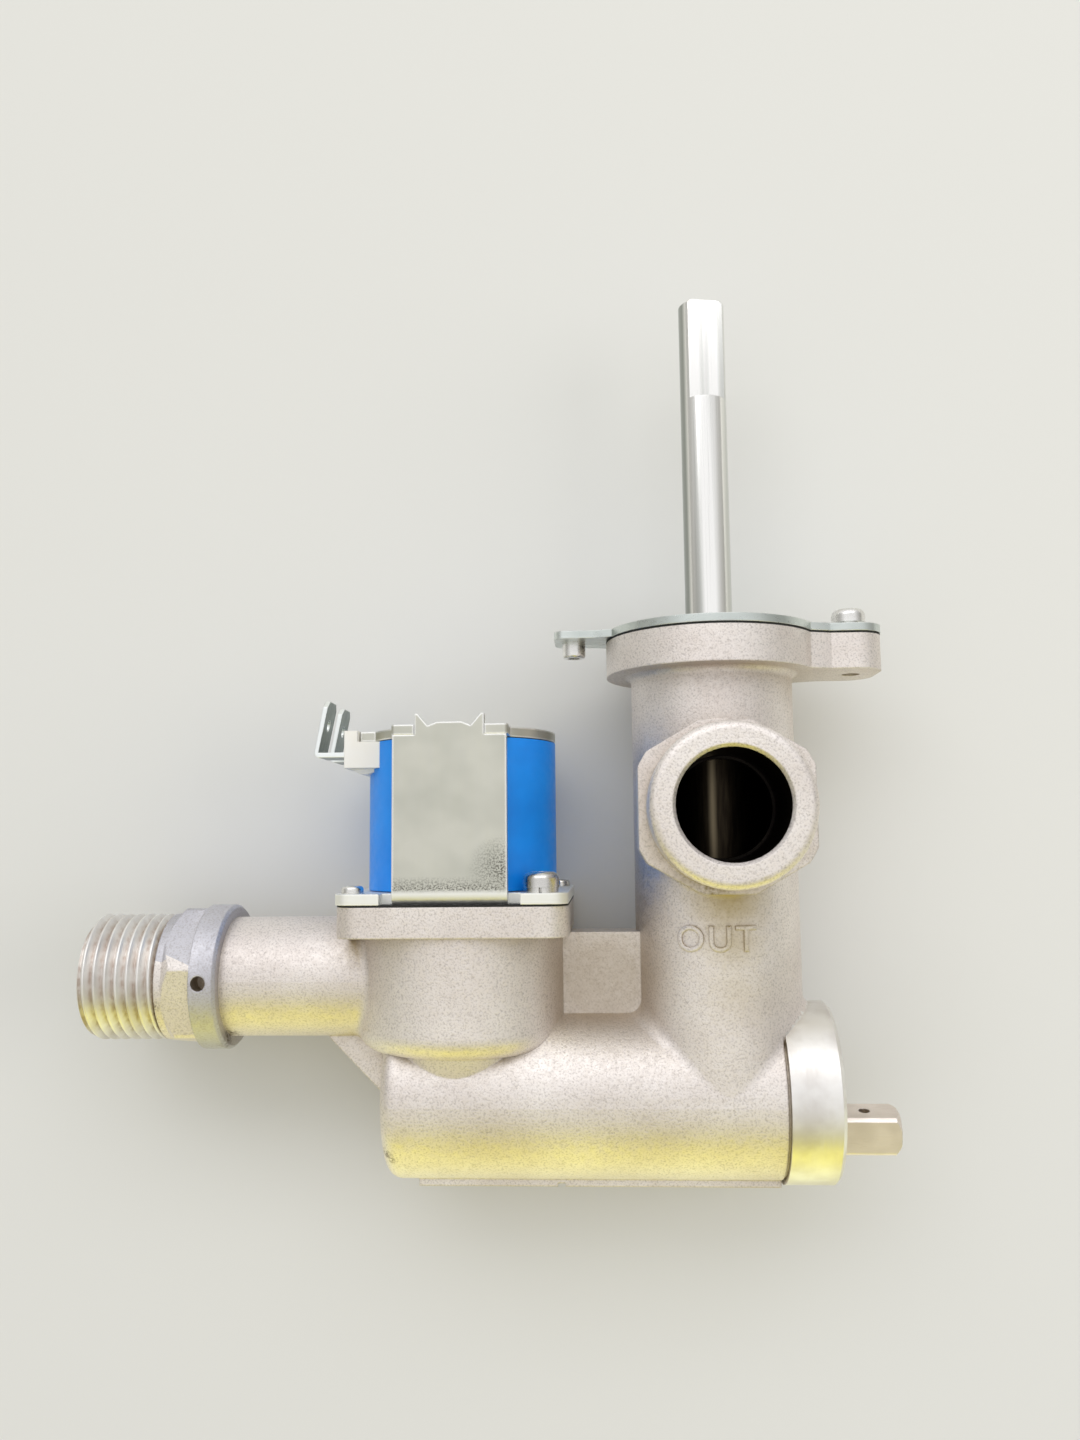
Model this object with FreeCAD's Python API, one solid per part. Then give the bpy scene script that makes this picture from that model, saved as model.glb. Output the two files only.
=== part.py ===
import FreeCAD, Part
import math
import os

# Gas control valve, lying on its back with the outlet port facing up.
# Millimetres. The origin is the centre of the inlet's end face. +X runs along the inlet pipe into
# the valve, +Y runs along the regulating shaft towards its tip, and +Z points out of the outlet.

Vector = FreeCAD.Vector
ALONG_X = Vector(1, 0, 0)
ALONG_Y = Vector(0, 1, 0)
ALONG_Z = Vector(0, 0, 1)

# Places of the main axes
solenoid_x = 62.5
regulator_x = 105.2
barrel_y = -18.9
outlet_y = 27.1
takeoff_drop = 6.1

# Inlet spigot, half inch pipe thread, with spanner flats and a collar
thread_radius = 10.4775
thread_length = 13.2
inlet_bore_radius = 7.5
inlet_bore_chamfer = 0.6
flats_across = 21.2
flats_turn = -12.0
flats_length = 6.2
flats_lead = 1.2
flats_cone_slope = 1.1
collar_radius = 12.0
collar_length = 4.3
collar_chamfer = 0.5
collar_hole_radius = 1.2
collar_hole_depth = 3.2
collar_hole_inset = 1.65
pipe_radius = 9.9

# Gusset between the inlet pipe and the lower barrel
gusset_start_x = 40.3
gusset_thickness = 5.0

# Valve bowl under the solenoid
flange_top_y = 12.2
flange_thickness = 4.8
flange_half = 18.3
flange_corner = 4.0
bowl_inset = 0.9
bowl_floor_y = -11.5
bowl_floor_round = 3.5
bowl_neck_radius = 12.6
bowl_neck_rise = 3.0
bowl_wall = 4.0
chamber_floor_y = -8.6
seat_top_y = -5.0
seat_radius = 5.4
seat_port_radius = 4.2

# Web between the bowl and the regulator barrel
web_thickness = 8.0
web_top_gap = 0.1

# Rounded corners where the casting's pieces meet
barrel_junction_round = 2.5
outlet_junction_round = 1.4
flange_junction_round = 1.2
pipe_junction_round = 1.8

# Lower barrel
barrel_radius = 13.7
barrel_start_x = 50.6
barrel_start_round = 2.5
barrel_end_x = 122.75
end_ring_radius = 14.4
end_ring_length = 8.55
end_ring_chamfer = 0.6
seam_width = 0.4
seam_depth = 0.35
passage_radius = 7.5
passage_start_x = 55.0
barrel_bore_radius = 10.8
barrel_bore_start_x = 91.0
foot_half_width = 3.5
foot_start_x = 55.6
foot_notch_x = 78.2
foot_notch_width = 1.2
foot_notch_depth = 0.5

# Regulator barrel and its top flange
regulator_radius = 13.6
regulator_bore_radius = 11.0
regulator_bore_floor_y = 10.0
regulator_throat_radius = 9.0
gland_seat_height = 7.45
gland_seat_radius = 12.0
top_flange_radius = 17.8
top_flange_y = 55.95
top_flange_thickness = 5.95
right_ear_reach = 28.2
right_ear_half_width = 7.5
right_ear_corner = 4.5
left_ear_reach = 26.7
left_ear_half_width = 5.0
left_ear_corner = 2.0
ear_blend = 5.0
ear_blend_reach = 3.0

# Outlet boss
outlet_bore_radius = 8.35
outlet_bore_depth = 17.0
outlet_port_radius = 7.9
outlet_face_z = 30.0
outlet_ring_radius = 12.3
outlet_ring_round = 1.3
outlet_neck_radius = 12.9
outlet_hex_across = 26.9
outlet_hex_corner_radius = 14.8
outlet_hex_half_height = 13.2
outlet_hex_start_z = 11.5
outlet_hex_end_z = 21.0
outlet_mouth_chamfer = 0.5

# Clearances
running_gap = 0.05
slip_gap = 0.02
face_gap = 0.2

# How far a cut runs past a face, and how far joined shapes reach into each other
past = 1.0
overlap = 0.5

# Cover plate on the top flange
gasket_thickness = 0.35
cover_thickness = 1.3
cover_overhang = 0.1
cover_screw_x = 23.7
cover_rear_screw_radius = 14.7
cover_rear_screw_angle = 225.0
ear_nut_x = -23.4
ear_nut_radius = 2.0
ear_nut_height = 2.7
ear_nut_bore_radius = 1.05
ear_nut_pilot_radius = 1.6
ear_nut_round = 0.5
ear_nut_sunk = 0.1

# Screws with pan heads
screw_radius = 1.45
screw_hole_radius = 1.5
screw_length = 6.0
pan_head_radius = 2.85
pan_head_height = 2.4
pan_head_round = 1.2
recess_width = 0.75
recess_span = 3.0
recess_depth = 1.3
shoulder_radius = 1.9
shoulder_height = 1.2
washer_inner_radius = 1.6
washer_outer_radius = 2.75
washer_thickness = 0.8
washer_slit = 0.45

# Regulating shaft, with a flat at its tip
shaft_radius = 4.0
journal_radius = 4.3
journal_rise = 0.2
shaft_tip_y = 116.8
shaft_tip_chamfer = 0.5
shaft_flat_length = 18.0
shaft_flat_offset = 2.5
shaft_flat_turn = 12.0
spindle_radius = 3.0
shaft_collar_radius = 5.6
stop_lug_reach = 9.6
stop_lug_width = 3.0
stop_gap_angle = 1.0
quarter_turn = 90.0

# Regulating rotor
rotor_spring_height = 2.0
stop_height = 2.8
rotor_wall = 2.35
rotor_hub_height = 6.0
rotor_window_radius = 6.2
rotor_pin_radius = 1.0
rotor_pin_length = 17.0
rotor_spring_wire = 0.35

# Gland round the regulating shaft
gland_neck_length = 1.7
gland_skirt_inner_radius = 7.2
gland_skirt_outer_radius = 10.9
ring_groove_width = 2.2
ring_groove_depth = 2.0
ring_wire_radius = 0.95

# Bevel gears, one to one
gear_teeth = 12
gear_radius = 3.9
gear_face_share = 0.55
tooth_above = 0.5
tooth_below = 0.65
tooth_half_width = 0.34
tooth_slope = 0.36
tooth_root_overlap = 0.2
gear_hub_radius = 3.7
gear_hub_length = 2.4
gear_back = 0.8
gear_bore_radius = 2.5

# Square shaft end and its plug
takeoff_radius = 4.15
takeoff_square = 6.3
takeoff_square_corner_radius = 4.1
takeoff_square_turn = 12.0
takeoff_square_length = 10.7
takeoff_end_chamfer = 0.8
takeoff_hole_radius = 0.9
takeoff_hole_inset = 5.4
takeoff_collar_radius = 4.75
takeoff_collar_length = 1.4
takeoff_ring_wire = 0.45
takeoff_groove_radius = 5.2
takeoff_groove_width = 1.1
plug_radius = 12.0
plug_seal_thickness = 0.6
plug_length = 6.2
plug_spanner_hole_radius = 1.1
plug_spanner_hole_depth = 2.0
plug_spanner_hole_span = 7.6
clip_thickness = 0.8
clip_groove_radius = 12.9
clip_inner_radius = 10.7
clip_gap_angle = 40.0

# Solenoid: folded yoke
sheet = 1.7
yoke_wall_width = 18.0
yoke_top_y = 39.0
yoke_corner = 2.5
yoke_bend_radius = 1.6
relief_width = 2.0
relief_depth = 2.6
tab_width = 11.0
tab_tip_rise = 3.3
tab_dip_rise = 1.4
tab_middle_rise = 2.0
tab_tip_width = 0.5
tab_dip_x = 3.4
tab_middle_x = 1.9
top_plate_thickness = 1.6
top_plate_prong_width = 18.4
prong_corner = 0.6
top_plate_tongue_half_width = 8.0
tab_notch_gap = 0.05
yoke_screw_inset = 4.3
pin_inset_x = 2.3
pin_inset_z = 4.3
pin_radius = 1.75
pin_rise = 1.2
pin_depth = 4.0

# Solenoid: coil
coil_to_yoke_gap = 0.74
coil_gap = 0.15
coil_wall = 0.8
bobbin_inner_radius = 5.75
bobbin_wall = 1.3
bobbin_rim = 1.4
winding_to_skin_gap = 0.66
block_proud = 2.74
block_thickness = 6.4
block_lip = 2.2
block_half_depth = 9.5
block_bottom_y = 34.5
block_top_y = 40.7
block_wedge = 0.9
block_wedge_start = 0.6
block_wedge_slope = 1.8
block_wedge_flat = 1.2
block_wedge_inset = 2.0
blade_width = 6.3
blade_spacing = 10.6
blade_thickness = 0.8
blade_leg_y = 36.4
blade_reach = 5.4
blade_tip_y = 45.9
blade_lean = 1.75
blade_hole_radius = 0.9
blade_hole_below_tip = 3.9
blade_tip_chamfer = 1.1
blade_root_cover = 3.7

# Solenoid: core tube, plunger and seat
tube_outer_radius = 5.6
tube_inner_radius = 5.1
tube_flange_seat = 1.2
tube_flange_thickness = 1.6
tube_seal_thickness = 0.5
core_radius = 5.05
core_stud_radius = 3.9
core_head_radius = 4.7
core_head_height = 0.5
plunger_radius = 5.0
plunger_top_y = 22.0
plunger_stroke = 2.6
plunger_end_gap = 0.3
plunger_foot_radius = 7.0
plunger_foot_height = 2.6
disc_radius = 5.8
disc_pocket_depth = 1.4
disc_thickness = 2.8
spring_wire_radius = 0.35
spring_radius = 2.6
spring_pocket_radius = 3.3
spring_pocket_depth = 8.0
spring_turns = 6.5


def cylinder(radius, start, end):
    """A round bar between two points."""
    axis = end - start
    return Part.makeCylinder(radius, axis.Length, start, axis)


def bar_x(radius, low, high, y=0.0, z=0.0):
    return cylinder(radius, Vector(low, y, z), Vector(high, y, z))


def bar_y(radius, low, high, x, z=0.0):
    return cylinder(radius, Vector(x, low, z), Vector(x, high, z))


def bar_z(radius, low, high, x, y):
    return cylinder(radius, Vector(x, y, low), Vector(x, y, high))


def ring_y(outer, inner, low, high, x, z=0.0):
    return bar_y(outer, low, high, x, z).cut(bar_y(inner, low, high, x, z))


def block(low, high):
    """A box between two opposite corners."""
    size = Vector(*high) - Vector(*low)
    return Part.makeBox(size.x, size.y, size.z, Vector(*low))


def plate(points, start, direction):
    """A flat outline, given as points, pulled along one direction."""
    wire = Part.makePolygon([start + point for point in points + points[:1]])
    return Part.Face(wire).extrude(direction)


def turned(points, centre, axis, outward, angle=360.0):
    """A solid of revolution from (radius, height) points; height runs along the axis."""
    corners = [centre + outward * radius + axis * height for radius, height in points]
    face = Part.Face(Part.makePolygon(corners + corners[:1]))
    return face.revolve(centre, axis, angle)


def prism(sides, across, low, high, centre_at, axis, first_flat, turn):
    """A regular prism with its flats at a distance, along X or Z."""
    corner = across / 2.0 / math.cos(math.pi / sides)
    other = axis.cross(first_flat)
    points = []
    for number in range(sides):
        angle = math.radians(turn) + (number + 0.5) * 2.0 * math.pi / sides
        points.append(first_flat * (corner * math.cos(angle)) + other * (corner * math.sin(angle)))
    return plate(points, centre_at + axis * low, axis * (high - low))


def torus(mean_radius, wire_radius, centre, axis):
    return Part.makeTorus(mean_radius, wire_radius, centre, axis)


def coil(radius, wire_radius, low, high, turns, centre_x, centre_z, clearance=0.0):
    """A helical spring along Y, between two heights."""
    height = high - low - 2.0 * (wire_radius + clearance)
    helix = Part.makeHelix(height / turns, height, radius)
    start = Vector(radius, 0, 0)
    circle = Part.Circle(start, ALONG_Y, wire_radius)
    section = Part.Wire([circle.toShape()])
    spring = Part.Wire(helix.Edges).makePipeShell([section], True, True)
    spring.rotate(Vector(0, 0, 0), ALONG_X, -90.0)
    spring.translate(Vector(centre_x, low + wire_radius + clearance, centre_z))
    return spring


def rounded(shape, radius, chosen):
    """Rounds the edges that a test picks out."""
    return shape.makeFillet(radius, [edge for edge in shape.Edges if chosen(edge)])


def bevelled(shape, size, chosen):
    """Chamfers the edges that a test picks out."""
    return shape.makeChamfer(size, [edge for edge in shape.Edges if chosen(edge)])


def is_circle(edge, radius, centre):
    if not isinstance(edge.Curve, Part.Circle):
        return False
    same_radius = abs(edge.Curve.Radius - radius) < 1e-4
    return same_radius and edge.Curve.Center.distanceToPoint(centre) < 1e-3


def runs_along(edge, axis):
    if not isinstance(edge.Curve, Part.Line):
        return False
    return abs(abs(edge.Curve.Direction.dot(axis)) - 1.0) < 1e-6


# Heights and places worked out from the sizes above
flats_start_x = thread_length
collar_start_x = flats_start_x + flats_length
collar_end_x = collar_start_x + collar_length
flange_bottom_y = flange_top_y - flange_thickness
top_flange_bottom_y = top_flange_y - top_flange_thickness
cover_bottom_y = top_flange_y + gasket_thickness
cover_top_y = cover_bottom_y + cover_thickness
takeoff_y = barrel_y - takeoff_drop
seam_x = barrel_end_x - end_ring_length
base_bottom_y = flange_top_y + gasket_thickness
base_top_y = base_bottom_y + sheet
bowl_radius = flange_half - bowl_inset
chamber_radius = bowl_radius - bowl_wall
tube_flange_radius = chamber_radius + tube_flange_seat
yoke_inner_z = flange_half - sheet
top_plate_top_y = yoke_top_y + top_plate_thickness
coil_radius = yoke_inner_z - coil_to_yoke_gap
winding_radius = coil_radius - coil_wall - winding_to_skin_gap
block_start_x = solenoid_x - coil_radius - block_proud
block_end_x = block_start_x + block_thickness
top_plate_tongue_x = block_start_x + block_lip + face_gap
blade_outer_x = block_start_x - blade_reach
gland_seat_y = top_flange_y - gland_seat_height
gland_bottom_y = gland_seat_y - gland_neck_length
ring_groove_y = (gland_bottom_y + top_flange_y) / 2
ring_groove_radius = journal_radius + ring_groove_depth
rotor_top_y = gland_bottom_y - stop_height
rotor_bottom_y = regulator_bore_floor_y + rotor_spring_height
regulator_axis = Vector(regulator_x, 0, 0)
solenoid_axis = Vector(solenoid_x, 0, 0)
rear_screw_angle = math.radians(cover_rear_screw_angle)
cover_screw_places = [
    Vector(regulator_x + cover_screw_x, 0, 0),
    Vector(
        regulator_x + cover_rear_screw_radius * math.cos(rear_screw_angle),
        0,
        cover_rear_screw_radius * math.sin(rear_screw_angle),
    ),
]
yoke_screw_offset = flange_half - yoke_screw_inset
pin_offset_x = flange_half - pin_inset_x
pin_offset_z = flange_half - pin_inset_z
yoke_screw_places = [
    Vector(solenoid_x + side * yoke_screw_offset, 0, side * yoke_screw_offset) for side in (1, -1)
]
pin_places = [
    Vector(solenoid_x - side * pin_offset_x, 0, side * pin_offset_z) for side in (1, -1)
]


def ear(reach, half_width, corner, low, high):
    """One ear of the cover or the top flange, from the middle out to its rounded end."""
    direction = 1.0 if reach > 0 else -1.0
    start = min(regulator_x, regulator_x + reach)
    end = max(regulator_x, regulator_x + reach)
    body = block((start, low, -half_width), (end, high, half_width))
    tip_x = regulator_x + reach

    def at_tip(edge):
        return runs_along(edge, ALONG_Y) and abs(edge.CenterOfMass.x - tip_x) < 1e-3

    body = rounded(body, corner, at_tip)
    disc_meets_x = direction * math.sqrt(top_flange_radius ** 2 - half_width ** 2)
    blend_x = regulator_x + disc_meets_x
    points = []
    for side in (1, -1):
        points.append(Vector(blend_x - direction * ear_blend, 0, side * (half_width + ear_blend / 2)))
        points.append(Vector(blend_x + direction * ear_blend_reach, 0, side * half_width))
    outline = [points[0], points[1], points[3], points[2]]
    return body.fuse(plate(outline, Vector(0, low, 0), ALONG_Y * (high - low)))


def cover_outline(low, high, overhang=0.0):
    """The round cover with both ears, as a solid between two heights."""
    disc = bar_y(top_flange_radius + overhang, low, high, regulator_x)
    right = ear(right_ear_reach, right_ear_half_width, right_ear_corner, low, high)
    left = ear(-left_ear_reach, left_ear_half_width, left_ear_corner, low, high)
    return disc.fuse([right, left]).removeSplitter()


def inlet_outside():
    spigot = bar_x(thread_radius, 0, thread_length)
    flats = prism(
        6, flats_across, flats_start_x, collar_start_x, Vector(0, 0, 0), ALONG_X, ALONG_Y, flats_turn
    )
    flat_depth = flats_across / 2.0
    turned_flats = turned(
        [
            (0, 0),
            (thread_radius, 0),
            (flat_depth, flats_lead),
            (collar_radius, flats_lead + (collar_radius - flat_depth) * flats_cone_slope),
            (collar_radius, flats_length),
            (0, flats_length),
        ],
        Vector(flats_start_x, 0, 0),
        ALONG_X,
        ALONG_Y,
    )
    flats = flats.common(turned_flats)
    collar = turned(
        [
            (0, 0),
            (collar_radius, 0),
            (collar_radius, collar_length - collar_chamfer),
            (collar_radius - collar_chamfer, collar_length),
            (0, collar_length),
        ],
        Vector(collar_start_x, 0, 0),
        ALONG_X,
        ALONG_Y,
    )
    pipe = bar_x(pipe_radius, collar_end_x - overlap, solenoid_x)
    return [spigot, flats, collar, pipe]


def gusset():
    meets_barrel_y = -pipe_radius - (barrel_start_x - gusset_start_x)
    inner_x = solenoid_x - bowl_radius / 2.0
    points = [
        Vector(gusset_start_x, -pipe_radius + overlap, 0),
        Vector(gusset_start_x, -pipe_radius, 0),
        Vector(barrel_start_x, meets_barrel_y, 0),
        Vector(inner_x, meets_barrel_y, 0),
        Vector(inner_x, -pipe_radius + overlap, 0),
    ]
    start = Vector(0, 0, -gusset_thickness / 2.0)
    return plate(points, start, ALONG_Z * gusset_thickness)


def bowl_outside():
    top = flange_bottom_y + overlap
    floor = bowl_floor_y
    bend = bowl_floor_round
    neck_end = barrel_y + bowl_neck_rise
    corner = Vector(solenoid_x + bowl_radius, floor + bend, 0)
    middle_angle = math.radians(45.0)
    arc_centre = Vector(solenoid_x + bowl_radius - bend, floor + bend, 0)
    middle = arc_centre + Vector(math.cos(middle_angle) * bend, -math.sin(middle_angle) * bend, 0)
    arc_end = Vector(solenoid_x + bowl_radius - bend, floor, 0)
    edges = [
        Part.LineSegment(Vector(solenoid_x, top, 0), Vector(solenoid_x + bowl_radius, top, 0)),
        Part.LineSegment(Vector(solenoid_x + bowl_radius, top, 0), corner),
        Part.Arc(corner, middle, arc_end),
        Part.LineSegment(arc_end, Vector(solenoid_x + bowl_neck_radius, neck_end, 0)),
        Part.LineSegment(
            Vector(solenoid_x + bowl_neck_radius, neck_end, 0),
            Vector(solenoid_x, neck_end, 0),
        ),
        Part.LineSegment(Vector(solenoid_x, neck_end, 0), Vector(solenoid_x, top, 0)),
    ]
    face = Part.Face(Part.Wire([edge.toShape() for edge in edges]))
    return face.revolve(solenoid_axis, ALONG_Y, 360.0)


def square_flange():
    low = (solenoid_x - flange_half, flange_bottom_y, -flange_half)
    high = (solenoid_x + flange_half, flange_top_y, flange_half)
    return rounded(block(low, high), flange_corner, lambda edge: runs_along(edge, ALONG_Y))


def barrels_outside():
    """Both barrels, the top flange disc and the outlet neck, with their junctions rounded."""
    lower = bar_x(barrel_radius, barrel_start_x, barrel_end_x - end_ring_chamfer, barrel_y)
    start = Vector(barrel_start_x, barrel_y, 0)
    lower = rounded(lower, barrel_start_round, lambda edge: is_circle(edge, barrel_radius, start))
    regulator = bar_y(regulator_radius, barrel_y, top_flange_bottom_y + past, regulator_x)
    neck = bar_z(outlet_neck_radius, 0.0, outlet_hex_end_z, regulator_x, outlet_y)
    disc = bar_y(top_flange_radius, top_flange_bottom_y, top_flange_y, regulator_x)
    shape = regulator.fuse(disc).removeSplitter()
    under_disc = Vector(regulator_x, top_flange_bottom_y, 0)
    shape = rounded(
        shape, flange_junction_round, lambda edge: is_circle(edge, regulator_radius, under_disc)
    )
    shape = shape.fuse(neck)

    def neck_meets_barrel(edge):
        box = edge.BoundBox
        beside = abs(box.Center.y - outlet_y) < outlet_neck_radius
        curved = not isinstance(edge.Curve, (Part.Line, Part.Circle))
        return beside and curved and box.ZMin > overlap

    shape = rounded(shape, outlet_junction_round, neck_meets_barrel)
    shape = shape.fuse(lower)

    def barrels_meet(edge):
        box = edge.BoundBox
        between = box.YMin > barrel_y - overlap and box.YMax < 0
        curved = not isinstance(edge.Curve, (Part.Line, Part.Circle))
        inside = box.XMin > regulator_x - 2 * regulator_radius and box.XMax < barrel_end_x - past
        return between and curved and inside

    shape = rounded(shape, barrel_junction_round, barrels_meet)
    groove = bar_x(
        end_ring_radius + past, seam_x - seam_width / 2, seam_x + seam_width / 2, barrel_y
    )
    groove = groove.cut(bar_x(barrel_radius - seam_depth, seam_x - past, seam_x + past, barrel_y))
    return shape.cut(groove.cut(regulator))


def end_ring():
    length = end_ring_length - seam_width / 2
    return turned(
        [
            (0, 0),
            (end_ring_radius, 0),
            (end_ring_radius, length - end_ring_chamfer),
            (end_ring_radius - end_ring_chamfer, length),
            (0, length),
        ],
        Vector(barrel_end_x - length, barrel_y, 0),
        ALONG_X,
        ALONG_Y,
    )


def foot_rib():
    low_y = barrel_y - end_ring_radius
    foot = block(
        (foot_start_x, low_y, -foot_half_width),
        (seam_x - seam_width / 2, barrel_y - barrel_radius / 2.0, foot_half_width),
    )
    notch = block(
        (foot_notch_x, low_y - past, -foot_half_width),
        (foot_notch_x + foot_notch_width, low_y + foot_notch_depth, foot_half_width),
    )
    return foot.cut(notch)


def outlet_hexagon():
    centre = Vector(regulator_x, outlet_y, 0)
    hexagon = prism(
        6, outlet_hex_across, outlet_hex_start_z, outlet_hex_end_z, centre, ALONG_Z, ALONG_X, 0.0
    )
    corners = bar_z(
        outlet_hex_corner_radius, outlet_hex_start_z, outlet_hex_end_z, regulator_x, outlet_y
    )
    low = (regulator_x - outlet_hex_across, outlet_y - outlet_hex_half_height, outlet_hex_start_z)
    high = (regulator_x + outlet_hex_across, outlet_y + outlet_hex_half_height, outlet_hex_end_z)
    return hexagon.common(corners).common(block(low, high))


def outlet_ring():
    ring = bar_z(outlet_ring_radius, 0.0, outlet_face_z, regulator_x, outlet_y)
    centre = Vector(regulator_x, outlet_y, outlet_face_z)
    return rounded(ring, outlet_ring_round, lambda edge: is_circle(edge, outlet_ring_radius, centre))


def inlet_and_bowl():
    """The inlet pipe, the bowl and its square flange, with the corner at the pipe rounded."""
    pieces = inlet_outside()
    pieces += [gusset(), square_flange()]
    shape = bowl_outside().fuse(pieces).removeSplitter()

    def pipe_meets_bowl(edge):
        box = edge.BoundBox
        beside = box.XMin > solenoid_x - bowl_radius and box.XMax < solenoid_x - bowl_radius / 2
        level = box.YMin > -pipe_radius and box.YMax < flange_bottom_y + overlap
        return beside and level and not isinstance(edge.Curve, (Part.Line, Part.Circle))

    return rounded(shape, pipe_junction_round, pipe_meets_bowl)


def body_outside():
    web = block(
        (solenoid_x, barrel_y, -web_thickness / 2),
        (regulator_x, flange_bottom_y - web_top_gap, web_thickness / 2),
    )
    right = ear(
        right_ear_reach - cover_overhang,
        right_ear_half_width - cover_overhang,
        right_ear_corner,
        top_flange_bottom_y,
        top_flange_y,
    )
    pieces = [barrels_outside(), end_ring(), foot_rib(), outlet_hexagon(), outlet_ring()]
    return inlet_and_bowl().fuse(pieces + [web, right])


def body_hollows():
    """Every bore, chamber and hole of the casting, as solids to take away."""
    hollows = [
        bar_x(inlet_bore_radius, -past, solenoid_x),
        Part.makeCone(
            inlet_bore_radius + inlet_bore_chamfer,
            inlet_bore_radius,
            inlet_bore_chamfer,
            Vector(0, 0, 0),
            ALONG_X,
        ),
        bar_z(
            collar_hole_radius,
            collar_radius - collar_hole_depth,
            collar_radius + past,
            collar_start_x + collar_hole_inset,
            0.0,
        ),
        bar_y(
            tube_flange_radius + running_gap,
            flange_top_y - tube_flange_thickness - tube_seal_thickness,
            flange_top_y + past,
            solenoid_x,
        ),
        bar_y(seat_port_radius, barrel_y, flange_top_y, solenoid_x),
        bar_x(passage_radius, passage_start_x, regulator_x, barrel_y),
        bar_x(barrel_bore_radius, barrel_bore_start_x, barrel_end_x + past, barrel_y),
        bar_x(plug_radius + running_gap, seam_x, barrel_end_x + past, barrel_y),
        bar_x(
            clip_groove_radius,
            seam_x + plug_seal_thickness + plug_length,
            seam_x + plug_seal_thickness + plug_length + clip_thickness,
            barrel_y,
        ),
        bar_y(regulator_throat_radius, barrel_y, regulator_bore_floor_y + past, regulator_x),
        bar_y(regulator_bore_radius, regulator_bore_floor_y, gland_seat_y + past, regulator_x),
        bar_y(gland_seat_radius, gland_seat_y, top_flange_y + past, regulator_x),
        bar_z(outlet_port_radius, 0.0, outlet_face_z, regulator_x, outlet_y),
        bar_z(
            outlet_bore_radius,
            outlet_face_z - outlet_bore_depth,
            outlet_face_z + past,
            regulator_x,
            outlet_y,
        ),
        Part.makeCone(
            outlet_bore_radius,
            outlet_bore_radius + outlet_mouth_chamfer,
            outlet_mouth_chamfer,
            Vector(regulator_x, outlet_y, outlet_face_z - outlet_mouth_chamfer),
            ALONG_Z,
        ),
    ]
    chamber = bar_y(chamber_radius, chamber_floor_y, flange_top_y, solenoid_x)
    seat = bar_y(seat_radius, chamber_floor_y, seat_top_y, solenoid_x)
    hollows.append(chamber.cut(seat))
    for place in cover_screw_places:
        low = top_flange_bottom_y - past
        hollows.append(bar_y(screw_hole_radius, low, top_flange_y + past, place.x, place.z))
    for place in yoke_screw_places:
        low = flange_bottom_y - past
        hollows.append(bar_y(screw_hole_radius, low, flange_top_y + past, place.x, place.z))
    for place in pin_places:
        low = base_bottom_y - pin_depth
        hollows.append(bar_y(screw_hole_radius, low, flange_top_y + past, place.x, place.z))
    return hollows


def valve_body():
    """The casting: outside first, then everything that is bored or cored out of it."""
    return body_outside().cut(body_hollows())


def pan_screw(place, seat_y, head_rise=0.0):
    """A pan head screw with a cross recess; a shoulder on seat_y lifts its head by head_rise."""
    head_y = seat_y + head_rise
    head = bar_y(pan_head_radius, head_y, head_y + pan_head_height, place.x, place.z)
    top = Vector(place.x, head_y + pan_head_height, place.z)
    head = rounded(head, pan_head_round, lambda edge: is_circle(edge, pan_head_radius, top))
    shank = bar_y(screw_radius, seat_y - screw_length, head_y + overlap, place.x, place.z)
    if head_rise > 0:
        shank = shank.fuse(bar_y(shoulder_radius, seat_y, head_y + overlap, place.x, place.z))
    half = recess_span / 2.0
    thin = recess_width / 2.0
    low = head_y + pan_head_height - recess_depth
    high = head_y + pan_head_height + past
    recess = [
        block((place.x - half, low, place.z - thin), (place.x + half, high, place.z + thin)),
        block((place.x - thin, low, place.z - half), (place.x + thin, high, place.z + half)),
    ]
    return head.fuse(shank).cut(recess)


def cover_gasket():
    sheet_shape = bar_y(top_flange_radius, top_flange_y, cover_bottom_y, regulator_x)
    right = ear(
        right_ear_reach - cover_overhang,
        right_ear_half_width - cover_overhang,
        right_ear_corner,
        top_flange_y,
        cover_bottom_y,
    )
    outline = sheet_shape.fuse(right)
    holes = [bar_y(ring_groove_radius + past, top_flange_y, cover_bottom_y, regulator_x)]
    for place in cover_screw_places:
        holes.append(bar_y(screw_hole_radius, top_flange_y, cover_bottom_y, place.x, place.z))
    return outline.cut(holes)


def cover_plate():
    outline = cover_outline(cover_bottom_y, cover_top_y, cover_overhang)
    holes = [bar_y(journal_radius + face_gap, cover_bottom_y, cover_top_y, regulator_x)]
    for place in cover_screw_places:
        holes.append(bar_y(screw_hole_radius, cover_bottom_y, cover_top_y, place.x, place.z))
    nut_hole = ear_nut_pilot_radius + slip_gap
    holes.append(bar_y(nut_hole, cover_bottom_y, cover_top_y, regulator_x + ear_nut_x))
    return outline.cut(holes)


def ear_nut():
    centre = regulator_x + ear_nut_x
    body = bar_y(ear_nut_radius, cover_bottom_y - ear_nut_height, cover_bottom_y, centre)
    low_rim = Vector(centre, cover_bottom_y - ear_nut_height, 0)
    body = rounded(body, ear_nut_round, lambda edge: is_circle(edge, ear_nut_radius, low_rim))
    pilot = bar_y(ear_nut_pilot_radius, cover_bottom_y - overlap, cover_top_y - ear_nut_sunk, centre)
    bore = bar_y(ear_nut_bore_radius, cover_bottom_y - ear_nut_height - past, cover_top_y + past, centre)
    return body.fuse(pilot).cut(bore)


def lug_direction(angle):
    """A direction square to the regulating shaft; 0 is +Z, 90 is +X."""
    turn = math.radians(angle)
    return Vector(math.sin(turn), 0, math.cos(turn))


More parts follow.
